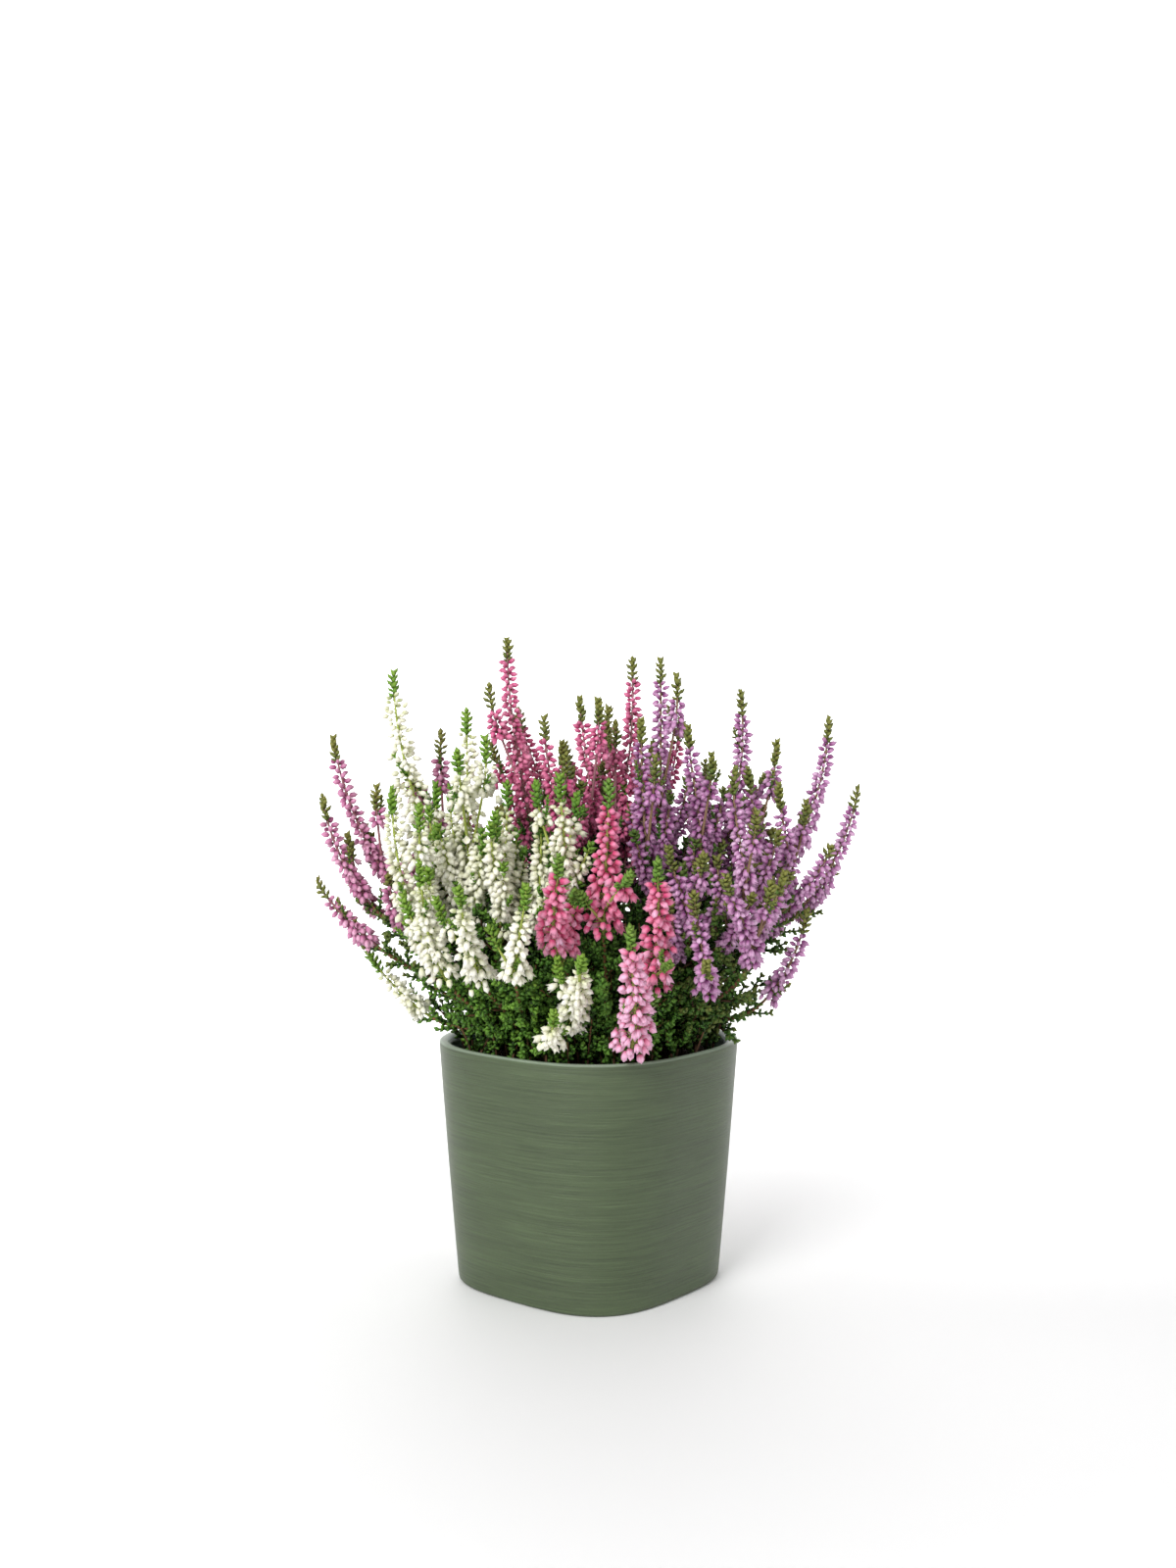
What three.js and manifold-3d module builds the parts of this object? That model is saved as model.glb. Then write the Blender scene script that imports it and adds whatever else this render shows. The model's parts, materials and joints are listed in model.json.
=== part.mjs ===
// Potted heather: five young heather plants of different colours, rooted in the peat of one glazed pot.
// Millimetres, +Z up. The origin is the middle of the pot's foot, and the photograph is seen from -Y.

import * as THREE from 'three';
import Module from 'manifold-3d';

const wasm = await Module();
wasm.setup();

// Pot: a rounded square that widens upwards, turned so that one rounded corner faces the viewer.
const POT_HEIGHT = 108;
const POT_RIM_HALF = 62;
const POT_FOOT_HALF = 51.6;
const POT_RIM_EXPONENT = 2.63;
const POT_FOOT_EXPONENT = 3.17;
const POT_TURN = 0.883;
const POT_WALL = 5;
const POT_FLOOR = 7;
const POT_FOOT_EDGE = 2;
const POT_LIP_EDGE = 1.4;
const POT_SIDES = 36;

// Peat: fills the pot to a little under the lip, with a hole for each plant's stem base.
const SEAT_GAP = 0.3;
const PEAT_EDGE = 100;
const PEAT_MOUND = 3;
const PEAT_RELIEF = 0.8;
const PEAT_CLEARANCE = 0.5;
const PEAT_STEPS = [0.78, 0.45];
const HOLE_DEPTH = 16;
const HOLE_RADIUS = 4.2;
const HOLE_SIDES = 8;

// Each plant: where it stands, how broad its spikes are, and the colours of its leaves and flowers.
const PLANTS = {
  white: { foot: [-27, -18], breadth: 0.95, leaf: 0x7f9a3c, flower: 0xecebd8 },
  mauve: { foot: [-32, 22], breadth: 0.75, leaf: 0x66713a, flower: 0xb26a98 },
  pink: { foot: [0, 27], breadth: 0.85, leaf: 0x5f7434, flower: 0xcd5c8c },
  rose: { foot: [10, -28], breadth: 1.2, leaf: 0x5c8a34, flower: 0xea7fa4 },
  lilac: { foot: [34, 3], breadth: 0.85, leaf: 0x5f6b38, flower: 0xa878ae },
};

// Stem base in the peat, and the leafy clump that hides where the stems fork from it.
const BASE_RADIUS = 3.6;
const BASE_TOE = 2.9;
const BASE_NECK = 2.6;
const BASE_RISE = 9;
const CLUMP_COLUMNS = 12;
const CLUMP_LEAN = 2.5;
const CLUMP_RINGS = [[0, 7, 9], [7, 10.5, 14.5], [17, 11, 15.4], [27, 10, 14], [37, 7, 11], [45, 3, 6]];
const CLUMP_HEIGHT = 50;

// Flower sprays that the photograph shows: the plant, the foot where the spray leaves its stem, and
// the tip of each spike. x and z are measured on the photograph, y is judged from what hides what.
const FRONT_SPRAYS = [
  ['white', [-65, -14, 179], [[-87, -6, 273], [-68, -10, 222]]],
  ['white', [-52, -28, 178], [[-55, -16, 255], [-45, -26, 243], [-55, -42, 237]]],
  ['white', [-69, -42, 154], [[-85, -32, 221], [-71, -54, 214]]],
  ['white', [-37, -46, 174], [[-35, -36, 223], [-39, -60, 211]]],
  ['white', [-14, -52, 178], [[-12, -62, 227], [-22, -54, 224], [-5, -48, 218]]],
  ['white', [-30, -64, 142], [[-25, -90, 184], [-40, -80, 166]]],
  ['white', [-9, -58, 122], [[-3, -98, 157], [-13, -90, 153]]],
  ['white', [-17, -50, 115], [[-14, -80, 133]]],
  ['white', [-70, -8, 118], [[-98, -10, 147]]],
  ['white', [-59, -54, 139], [[-69, -74, 192], [-78, -58, 177]]],
  ['white', [-44, -60, 140], [[-51, -90, 184], [-62, -86, 177]]],
  ['mauve', [-88, -6, 178], [[-116, 6, 243], [-94, -12, 221]]],
  ['mauve', [-96, -16, 169], [[-117, -18, 217], [-107, -12, 199]]],
  ['mauve', [-92, -26, 152], [[-119, -26, 181]]],
  ['mauve', [-65, 10, 197], [[-82, 6, 228], [-68, 16, 245]]],
  ['pink', [-26, 12, 204], [[-38, 22, 290], [-45, 10, 266]]],
  ['pink', [-13, -12, 196], [[-20, -4, 252], [-10, -22, 235]]],
  ['pink', [-1, 2, 198], [[-4, 10, 261], [4, 2, 260]]],
  ['pink', [9, 12, 199], [[20, 24, 280], [12, 14, 249]]],
  ['rose', [6, -58, 160], [[8, -84, 225], [-4, -84, 180], [16, -86, 189]]],
  ['rose', [-13, -66, 153], [[-12, -96, 196]]],
  ['rose', [25, -60, 137], [[27, -98, 194], [32, -88, 152]]],
  ['rose', [17, -52, 113], [[16, -104, 169], [26, -78, 138]]],
  ['lilac', [32, 0, 204], [[33, 14, 279], [39, 4, 271]]],
  ['lilac', [61, 8, 200], [[69, 12, 264]]],
  ['lilac', [48, -20, 189], [[44, -10, 248], [53, -30, 235]]],
  ['lilac', [26, -30, 187], [[23, -16, 251], [28, -44, 234]]],
  ['lilac', [69, -12, 181], [[70, -14, 229], [84, -2, 241]]],
  ['lilac', [89, 12, 186], [[110, 16, 252]]],
  ['lilac', [83, -24, 169], [[81, -34, 223], [95, -24, 215]]],
  ['lilac', [96, 0, 167], [[121, -2, 221]]],
  ['lilac', [64, -46, 171], [[62, -46, 230], [69, -64, 212]]],
  ['lilac', [66, -50, 145], [[54, -84, 188], [74, -74, 183], [82, -58, 186]]],
  ['lilac', [43, -40, 158], [[33, -66, 197], [46, -72, 195]]],
  ['lilac', [49, -58, 134], [[42, -94, 180], [46, -86, 154]]],
  ['lilac', [75, -22, 126], [[94, -34, 168]]],
];

// Sprays at the back, out of the photograph's sight: three tiers on a fan round the pot's axis.
const BACK_COUNT = 16;
const BACK_FAN = [0.13, 0.85];
const BACK_TIERS = [
  { footReach: 54, footHeight: 130, tipReach: 98, tipHeight: 178 },
  { footReach: 52, footHeight: 168, tipReach: 84, tipHeight: 222 },
  { footReach: 30, footHeight: 190, tipReach: 52, tipHeight: 254 },
];
const BACK_FORK = 0.26;
const BACK_FORK_DROP = 14;
const BACK_WOBBLE = 9;
const BACK_LILAC_FROM = 26;
const BACK_MAUVE_FROM = -24;

// Spikes: a stem end, a drooping relief of buds, and a leafy tip like a little fir.
const SPIKE_COLUMNS = 6;
const SPIKE_RADIUS = 5.2;
const SPIKE_RADIUS_PER_LENGTH = 0.05;
const SPIKE_TOP_SHARE = 0.46;
const SPIKE_TAPER = 1.6;
const SPIKE_CORE_SHARE = 0.5;
const SPIKE_NECK = 1.1;
const SPIKE_BARE = 4;
const SPIKE_BOW = 0.09;
const SIDE_FROM = 0.1;
const SIDE_EARLIEST = 0.1;
const SIDE_LATEST = 0.55;
const SIDE_STEP = 0.05;
const SIDE_NESTLE = 0.8;
const SIDE_TWIST = 0.4;
const BUD_PITCH = 8.2;
const BUD_DROOP = 0.42;
const BUD_TOP_DROOP = 0.3;
const BUD_UNEVEN = 0.14;
const TIP_LENGTH = 11;
const TIP_RADIUS = 2.3;
const TIP_CORE = 1.2;
const TIP_WIDEST = 0.4;
const TIP_LEAN = 2.2;

// Stems and leafy shoots: cords of scale leaves that point to the tip.
const STEM_COLUMNS = 4;
const STEM_RADIUS = 1.1;
const STEM_LEAF = 1.9;
const STEM_PITCH = 18;
const LEAF_LEAN = 0.4;
const STEM_RISE = 0.42;
const STEM_FORKS = [0.3, 0.5, 0.7];
const STEM_FORK_RISE = 24;
const STEM_PLAIN = 0.3;
const SHOOT_RADIUS = 0.9;
const SHOOT_LEAF = 1.9;
const SHOOT_PITCH = 6.6;
const SHOOT_PLACES = [0.5, 0.72, 0.34];
const SHOOT_LENGTH = 20;
const SHOOT_SLOPE = 0.7;
const SHOOT_ROOT = 3;
const SHOOT_RISE = 0.2;
const SHOOT_SWING = [0.3, 0.7];
const COLLAR_COUNT = 5;
const COLLAR_SPREAD = 1;
const COLLAR_RISE = 6.3;
const COLLAR_LENGTHS = [27, 36];
const COLLAR_SLOPES = [0.3, 0.55, 0.9, 1.4];

// Spreading: spikes that would touch are bent apart in depth until this much is left between them.
const SPREAD_GAP = 0.8;
const SPREAD_PASSES = 60;
const SPREAD_SAMPLES = 9;
const SPREAD_FORK = 4;

// Finishes that the plants' own colours don't give.
const POT_COLOUR = 0x5c6752;
const POT_ROUGHNESS = 0.4;
const PEAT_COLOUR = 0x33261c;
const PEAT_ROUGHNESS = 0.95;
const LEAF_ROUGHNESS = 0.7;
const FLOWER_ROUGHNESS = 0.6;

const GOLDEN = 0.6180339887;
const FULL_TURN = 2 * Math.PI;
const UP = new THREE.Vector3(0, 0, 1);

const fraction = (value) => value - Math.floor(value);
const mix = (a, b, share) => a + (b - a) * share;
const vector = (point) => new THREE.Vector3(...point);

// Half-width of the pot's rounded square at a height, in one direction, less an inset.
function potPoint(angle, height, inset) {
  const share = height / POT_HEIGHT;
  const half = mix(POT_FOOT_HALF, POT_RIM_HALF, share) - inset;
  const exponent = mix(POT_FOOT_EXPONENT, POT_RIM_EXPONENT, share);
  const c = Math.cos(angle);
  const s = Math.sin(angle);
  const reach = half / (Math.abs(c) ** exponent + Math.abs(s) ** exponent) ** (1 / exponent);
  return new THREE.Vector2(c, s).multiplyScalar(reach).rotateAround(new THREE.Vector2(), POT_TURN);
}

// A closed body through rings of equal point counts, with a centre point at either end.
function ringBody(rings, startCentre, endCentre) {
  const count = rings[0].length;
  const points = [startCentre, ...rings.flat(), endCentre];
  const faces = [];
  const at = (ring, step) => 1 + ring * count + (step % count);
  for (let step = 0; step < count; step++) {
    faces.push(0, at(0, step + 1), at(0, step));
    faces.push(points.length - 1, at(rings.length - 1, step), at(rings.length - 1, step + 1));
    for (let ring = 0; ring + 1 < rings.length; ring++) {
      faces.push(at(ring, step), at(ring, step + 1), at(ring + 1, step + 1));
      faces.push(at(ring, step), at(ring + 1, step + 1), at(ring + 1, step));
    }
  }
  return bufferGeometry(points, faces);
}

function bufferGeometry(points, faces) {
  const geometry = new THREE.BufferGeometry().setFromPoints(points);
  geometry.setIndex(faces);
  return geometry;
}

function potRing(height, inset) {
  return Array.from({ length: POT_SIDES }, (_, step) => {
    const point = potPoint((step / POT_SIDES) * FULL_TURN, height, inset);
    return new THREE.Vector3(point.x, point.y, height);
  });
}

function potGeometry() {
  const lip = POT_HEIGHT - POT_LIP_EDGE;
  const rings = [
    potRing(0, POT_FOOT_EDGE),
    potRing(POT_FOOT_EDGE, 0),
    potRing(lip, 0),
    potRing(POT_HEIGHT, POT_LIP_EDGE),
    potRing(POT_HEIGHT, POT_WALL - POT_LIP_EDGE),
    potRing(lip, POT_WALL),
    potRing(POT_FLOOR, POT_WALL),
  ];
  return ringBody(rings, new THREE.Vector3(0, 0, 0), new THREE.Vector3(0, 0, POT_FLOOR));
}

// Height of the peat: a low mound with crumbs raised by a formula.
function peatHeight(x, y) {
  const share = Math.min(1, Math.hypot(x, y) / POT_RIM_HALF);
  const crumbs = Math.sin(x * 0.9 + y * 0.4) * Math.cos(y * 0.8 - x * 0.3);
  return PEAT_EDGE + PEAT_MOUND * (1 - share * share) + PEAT_RELIEF * crumbs;
}

function peatGeometry() {
  const inset = POT_WALL + PEAT_CLEARANCE;
  const edge = potRing(PEAT_EDGE, inset);
  const shrunk = (scale) => edge.map((point) => {
    const x = point.x * scale;
    const y = point.y * scale;
    return new THREE.Vector3(x, y, peatHeight(x, y));
  });
  const bottom = POT_FLOOR + SEAT_GAP;
  const rings = [
    potRing(bottom, inset),
    edge,
    ...PEAT_STEPS.map(shrunk),
  ];
  const centre = new THREE.Vector3(0, 0, peatHeight(0, 0));
  const body = solid(ringBody(rings, new THREE.Vector3(0, 0, bottom), centre));
  const holes = Object.values(PLANTS).map(({ foot }) => solid(holeGeometry(foot)));
  return fromSolid(holes.reduce((rest, hole) => rest.subtract(hole), body));
}

// An upright round body at a place, from a profile of radii and heights.
function roundBody(x, y, profile) {
  const rings = profile.map(([radius, height]) => Array.from({ length: HOLE_SIDES }, (_, step) => {
    const angle = (step / HOLE_SIDES) * FULL_TURN;
    return new THREE.Vector3(x + radius * Math.cos(angle), y + radius * Math.sin(angle), height);
  }));
  const centre = ([, height]) => new THREE.Vector3(x, y, height);
  return ringBody(rings, centre(profile[0]), centre(profile[profile.length - 1]));
}

function holeGeometry([x, y]) {
  return roundBody(x, y, [[HOLE_RADIUS, PEAT_EDGE - HOLE_DEPTH], [HOLE_RADIUS, PEAT_EDGE + HOLE_DEPTH]]);
}

function solid(geometry) {
  const vertProperties = Float32Array.from(geometry.attributes.position.array);
  const triVerts = Uint32Array.from(geometry.index.array);
  return new wasm.Manifold(new wasm.Mesh({ numProp: 3, vertProperties, triVerts }));
}

function fromSolid(manifold) {
  const mesh = manifold.getMesh();
  const geometry = new THREE.BufferGeometry();
  geometry.setAttribute('position', new THREE.Float32BufferAttribute(mesh.vertProperties, 3));
  geometry.setIndex(Array.from(mesh.triVerts));
  return geometry;
}

function union(geometries) {
  const [first, ...rest] = geometries.map(solid);
  return fromSolid(rest.reduce((body, next) => body.add(next), first));
}

// The curve of a spike, stem or shoot: it leaves its foot along a direction and ends at its tip.
function bowedCurve(foot, tip, direction) {
  const length = foot.distanceTo(tip);
  const lean = new THREE.Vector3(tip.x - foot.x, tip.y - foot.y, 0);
  const outward = lean.lengthSq() > 1 ? lean.normalize() : new THREE.Vector3(foot.x, foot.y, 0).normalize();
  const first = foot.clone().addScaledVector(direction, length / 3);
  const second = foot.clone().lerp(tip, 2 / 3).addScaledVector(outward, length * SPIKE_BOW);
  return new THREE.CubicBezierCurve3(foot, first, second, tip);
}

// A tube along a curve whose ring points are raised in turn, so that its faces form scales.
// Each ring has its place along the curve, the radius between the scales, the radius of their
// points and how far the points lean towards the tip. It ends in a point or in a flat face.
function scalyTube(curve, rings, columns, phase, pointed) {
  const chord = curve.getPoint(1).sub(curve.getPoint(0)).normalize();
  const guide = new THREE.Vector3(0, 1, 0).cross(chord).normalize();
  const points = [];
  const faces = [];
  rings.forEach(({ at, core, point, lean }, ring) => {
    const along = curve.getTangent(at);
    const side = guide.clone().addScaledVector(along, -guide.dot(along)).normalize();
    const other = along.clone().cross(side);
    for (let step = 0; step < columns; step++) {
      const raised = (ring + step) % 2 === 0 && point > core;
      const uneven = BUD_UNEVEN * fraction((ring * 7 + step * 3 + phase) * GOLDEN);
      const radius = raised ? point * (1 - uneven) : core;
      const angle = (step / columns) * FULL_TURN + phase;
      const place = curve.getPoint(at).addScaledVector(side, radius * Math.cos(angle));
      place.addScaledVector(other, radius * Math.sin(angle)).addScaledVector(along, raised ? lean : 0);
      points.push(place);
    }
  });
  const at = (ring, step) => ring * columns + (step % columns);
  const last = rings.length - 1;
  for (let ring = 0; ring < last; ring++) {
    for (let step = 0; step < columns; step++) {
      const quad = [at(ring, step), at(ring, step + 1), at(ring + 1, step + 1), at(ring + 1, step)];
      const turn = (ring + step) % 2 === 0 ? 1 : 0;
      const [a, b, c, d] = [0, 1, 2, 3].map((corner) => quad[(corner + turn) % 4]);
      faces.push(a, b, c, a, c, d);
    }
  }
  for (let step = 1; step + 1 < columns; step++) {
    faces.push(at(0, 0), at(0, step + 1), at(0, step));
    if (!pointed) faces.push(at(last, 0), at(last, step), at(last, step + 1));
  }
  if (pointed) {
    points.push(curve.getPoint(1));
    const end = points.length - 1;
    for (let step = 0; step < columns; step++) faces.push(at(last, step), at(last, step + 1), end);
  }
  return bufferGeometry(points, faces);
}

// Sprays out of sight fill the back half in three tiers, coloured by the plant that stands nearest.
function backSprays() {
  const place = (turn, reach, height) => [
    reach * Math.cos(turn * Math.PI), reach * Math.sin(turn * Math.PI), height,
  ];
  return Array.from({ length: BACK_COUNT }, (_, index) => {
    const tier = BACK_TIERS[index % BACK_TIERS.length];
    const turn = mix(BACK_FAN[0], BACK_FAN[1], (index + 0.5) / BACK_COUNT);
    const wobble = BACK_WOBBLE * (fraction(index * GOLDEN) - 0.5);
    const foot = place(turn, tier.footReach, tier.footHeight + wobble);
    const fork = (BACK_FORK / 2) * (index % 2 === 0 ? 1 : -1);
    const high = place(turn - fork / 2, tier.tipReach + wobble, tier.tipHeight + wobble);
    const low = place(turn + fork / 2, tier.tipReach - wobble, tier.tipHeight - BACK_FORK_DROP);
    const inner = foot[0] < BACK_MAUVE_FROM ? 'mauve' : 'pink';
    return [foot[0] > BACK_LILAC_FROM ? 'lilac' : inner, foot, [high, low]];
  });
}

// A spray knows its plant, its number within the plant, its foot and its tips.
function listSprays() {
  const counts = {};
  return [...FRONT_SPRAYS, ...backSprays()].map(([plant, foot, tips]) => {
    counts[plant] = (counts[plant] ?? 0) + 1;
    return { plant, number: counts[plant], foot: vector(foot), tips: tips.map(vector) };
  });
}

// Where a spray's stem starts: on the stem that it forks from, or in the plant's base.
function stemStart({ plant, parent, fork }) {
  if (parent) return stemCurve(parent).getPoint(fork);
  const [x, y] = PLANTS[plant].foot;
  return new THREE.Vector3(x, y, PEAT_EDGE + PEAT_MOUND + BASE_RISE / 2);
}

// Each stem forks from the nearest stem of its plant that is already there, or rises from the base.
function growStems(sprays) {
  const grown = [];
  for (const spray of [...sprays].sort((a, b) => b.foot.z - a.foot.z)) {
    let nearest = stemStart(spray).distanceTo(spray.foot);
    for (const parent of grown.filter(({ plant }) => plant === spray.plant)) {
      for (const fork of STEM_FORKS) {
        const place = stemCurve(parent).getPoint(fork);
        const reach = place.distanceTo(spray.foot);
        if (reach >= nearest || place.z > spray.foot.z - STEM_FORK_RISE) continue;
        nearest = reach;
        Object.assign(spray, { parent, fork });
      }
    }
    grown.push(spray);
  }
}

// The direction in which a spray leaves its stem.
function sprayDirection(spray) {
  const middle = spray.tips.reduce((sum, tip) => sum.add(tip), new THREE.Vector3());
  middle.divideScalar(spray.tips.length);
  const rise = middle.sub(spray.foot).normalize();
  const lean = spray.foot.clone().sub(stemStart(spray)).normalize();
  return rise.add(lean).normalize();
}

function stemCurve(spray) {
  const start = stemStart(spray);
  const length = start.distanceTo(spray.foot);
  const rise = spray.parent ? spray.foot.clone().sub(start).normalize() : UP;
  const first = start.clone().addScaledVector(rise, (length * STEM_RISE) / 2);
  const second = spray.foot.clone().addScaledVector(sprayDirection(spray), -length * STEM_RISE);
  return new THREE.CubicBezierCurve3(start, first, second, spray.foot);
}

// The first spike of a spray stands on the stem, and the others leave it a little further up.
function spikeCurve(spray, tip) {
  const direction = sprayDirection(spray);
  const foot = spray.foot.clone().addScaledVector(direction, SEAT_GAP);
  if (tip === spray.tips[0]) return bowedCurve(foot, tip, direction);
  const main = bowedCurve(foot, spray.tips[0], direction);
  const start = main.getPoint(SIDE_FROM * spray.tips.indexOf(tip));
  return bowedCurve(start, tip, tip.clone().sub(start).add(direction).normalize());
}

// The share of a spike that is bare: a short stem end, or as much of a side spike as the spike that
// it leaves would cover with its buds.
function bareShare(spray, tip, curve) {
  const length = curve.getLength();
  if (tip === spray.tips[0]) return SPIKE_BARE / length;
  const main = spikeCurve(spray, spray.tips[0]);
  const mainRadius = spikeRadius(spray, main.getLength());
  for (let share = SIDE_EARLIEST; share < SIDE_LATEST; share += SIDE_STEP) {
    const place = curve.getPoint(share);
    const apart = Math.min(...main.getPoints(SPREAD_SAMPLES).map((point) => point.distanceTo(place)));
    if (apart > mainRadius + spikeRadius(spray, length) * SIDE_NESTLE) return share;
  }
  return SIDE_LATEST;
}

function spikeRadius({ plant }, length) {
  return PLANTS[plant].breadth * (SPIKE_RADIUS + SPIKE_RADIUS_PER_LENGTH * length);
}

// Rings of a spike, from its stem end through the buds to the leafy tip.
function spikeRings(spray, tip, curve) {
  const length = curve.getLength();
  const bare = bareShare(spray, tip, curve);
  const tipStart = 1 - TIP_LENGTH / length;
  const widest = spikeRadius(spray, length);
  const steps = Math.max(1, Math.round(((tipStart - bare) * length) / BUD_PITCH));
  const rings = [{ at: 0, core: SPIKE_NECK, point: 0, lean: 0 }];
  for (let step = 0; step <= steps; step++) {
    const share = step / steps;
    const point = widest * mix(1, SPIKE_TOP_SHARE, share ** SPIKE_TAPER);
    const lean = -BUD_DROOP * BUD_PITCH * mix(1, BUD_TOP_DROOP, share);
    rings.push({ at: mix(bare, tipStart, share), core: point * SPIKE_CORE_SHARE, point, lean });
  }
  rings.push({ at: mix(tipStart, 1, TIP_WIDEST), core: TIP_CORE, point: TIP_RADIUS, lean: TIP_LEAN });
  return rings;
}

// Spheres along a spike, stem or shoot, which stand for it where clearances are worked out.
function beads(curve, radiusAt) {
  return Array.from({ length: SPREAD_SAMPLES }, (_, index) => {
    const at = index / (SPREAD_SAMPLES - 1);
    return { at, place: curve.getPoint(at), radius: radiusAt(at) };
  });
}

function spikeBeads(spray, tip) {
  const curve = spikeCurve(spray, tip);
  const rings = spikeRings(spray, tip, curve);
  return beads(curve, (at) => {
    const upper = rings.findIndex((ring) => ring.at >= at);
    const next = upper < 0 ? rings[rings.length - 1] : rings[upper];
    const last = rings[Math.max(0, (upper < 0 ? rings.length : upper) - 1)];
    const share = next.at > last.at ? (at - last.at) / (next.at - last.at) : 0;
    return mix(Math.max(last.core, last.point), Math.max(next.core, next.point), Math.min(1, share));
  });
}

const stemBeads = (spray) => beads(stemCurve(spray), () => STEM_LEAF);

// The deepest overlap of two rows of beads: the two beads, and how far apart in depth they must move.
function worstOverlap(rowA, rowB) {
  let worst = null;
  for (const a of rowA) {
    for (const b of rowB) {
      const need = a.radius + b.radius + SPREAD_GAP;
      const gap = b.place.clone().sub(a.place);
      if (gap.lengthSq() >= need * need) continue;
      const depth = Math.sqrt(need * need - gap.x * gap.x - gap.z * gap.z) - Math.abs(gap.y);
      if (!worst || depth > worst.depth) worst = { a, b, depth, sign: gap.y < 0 ? -1 : 1 };
    }
  }
  return worst;
}

// Moves the bead at a place along a spike in depth, by shifting the spray's foot and that spike's tip.
function pushSpike({ spray, tip }, bead, depth) {
  const share = bead.at;
  const weight = (1 - share) ** 2 + share ** 2;
  spray.foot.y += (depth * (1 - share)) / weight;
  tip.y += (depth * share) / weight;
}

function spreadSprays(sprays) {
  for (let pass = 0; pass < SPREAD_PASSES; pass++) {
    const spikes = sprays.flatMap((spray) => spray.tips.map((tip) => (
      { spray, tip, row: spikeBeads(spray, tip) }
    )));
    const stems = sprays.map((spray) => ({ spray, row: stemBeads(spray) }));
    spikes.forEach((spike, index) => {
      for (const other of spikes.slice(index + 1)) {
        const from = other.spray === spike.spray ? SPREAD_FORK : 0;
        const worst = worstOverlap(spike.row.slice(from), other.row.slice(from));
        if (!worst) continue;
        pushSpike(spike, worst.a, (-worst.sign * worst.depth) / 2);
        pushSpike(other, worst.b, (worst.sign * worst.depth) / 2);
      }
      for (const stem of stems) {
        if (stem.spray === spike.spray) continue;
        const worst = worstOverlap(spike.row, stem.row);
        if (worst) pushSpike(spike, worst.a, (-worst.sign * worst.depth) / 2);
      }
    });
  }
}

function sprayGeometry(spray) {
  return union(spray.tips.map((tip, index) => {
    const curve = spikeCurve(spray, tip);
    const rings = spikeRings(spray, tip, curve);
    return scalyTube(curve, rings, SPIKE_COLUMNS, spray.number + index * SIDE_TWIST, true);
  }));
}

// Rings of a cord of scale leaves, as on stems and shoots, which is bare up to a share of its length.
function cordRings(steps, core, point, length, bare) {
  return Array.from({ length: steps + 1 }, (_, step) => {
    const leafy = step / steps > bare && step < steps;
    return { at: step / steps, core, point: leafy ? point : 0, lean: (length / steps) * LEAF_LEAN };
  });
}

// A leafy shoot that leaves its foot in a direction round the upright and turns upwards.
function shootCurve(foot, turn, slope, length) {
  const away = new THREE.Vector3(Math.cos(turn), Math.sin(turn), slope).normalize();
  const tip = foot.clone().addScaledVector(away, length).addScaledVector(UP, length * SHOOT_RISE);
  return bowedCurve(foot, tip, away);
}

const shootBeads = (curve) => beads(curve, () => SHOOT_LEAF);

// Whether a shoot stays clear of the pot and of the peat.
function clearOfPot(row) {
  return row.slice(2).every(({ place, radius }) => {
    const inside = Math.hypot(place.x, place.y) < POT_RIM_HALF - POT_WALL - radius;
    const floor = inside ? PEAT_EDGE + PEAT_MOUND + PEAT_RELIEF : POT_HEIGHT;
    return place.z > floor + radius + SPREAD_GAP;
  });
}

// Where shoots may stand, each with several tries: a collar that leans out over the lip from each
// plant's base, and one on each stem, on either side in turn.
function shootPlaces(sprays) {
  const collars = Object.entries(PLANTS).flatMap(([plant, { foot: [x, y] }]) => (
    Array.from({ length: COLLAR_COUNT }, (_, index) => {
      const share = index / (COLLAR_COUNT - 1) - 0.5;
      const turn = Math.atan2(y, x) + share * Math.PI * COLLAR_SPREAD;
      const foot = new THREE.Vector3(x, y, PEAT_EDGE + PEAT_MOUND + COLLAR_RISE);
      const length = mix(...COLLAR_LENGTHS, fraction(index * GOLDEN));
      const tries = COLLAR_SLOPES.map((slope) => shootCurve(foot, turn, slope, length));
      return { plant, phase: index, tries };
    })
  ));
  const sides = sprays.map((spray, index) => {
    const outward = Math.atan2(spray.foot.y, spray.foot.x);
    const swing = Math.PI * mix(...SHOOT_SWING, fraction(index * GOLDEN));
    const tries = SHOOT_PLACES.flatMap((place) => [swing, -swing].map((turn) => (
      shootCurve(stemCurve(spray).getPoint(place), outward + turn, SHOOT_SLOPE, SHOOT_LENGTH)
    )));
    return { plant: spray.plant, phase: index, tries: index % 2 === 0 ? tries : tries.reverse() };
  });
  return [...collars, ...sides];
}

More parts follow.
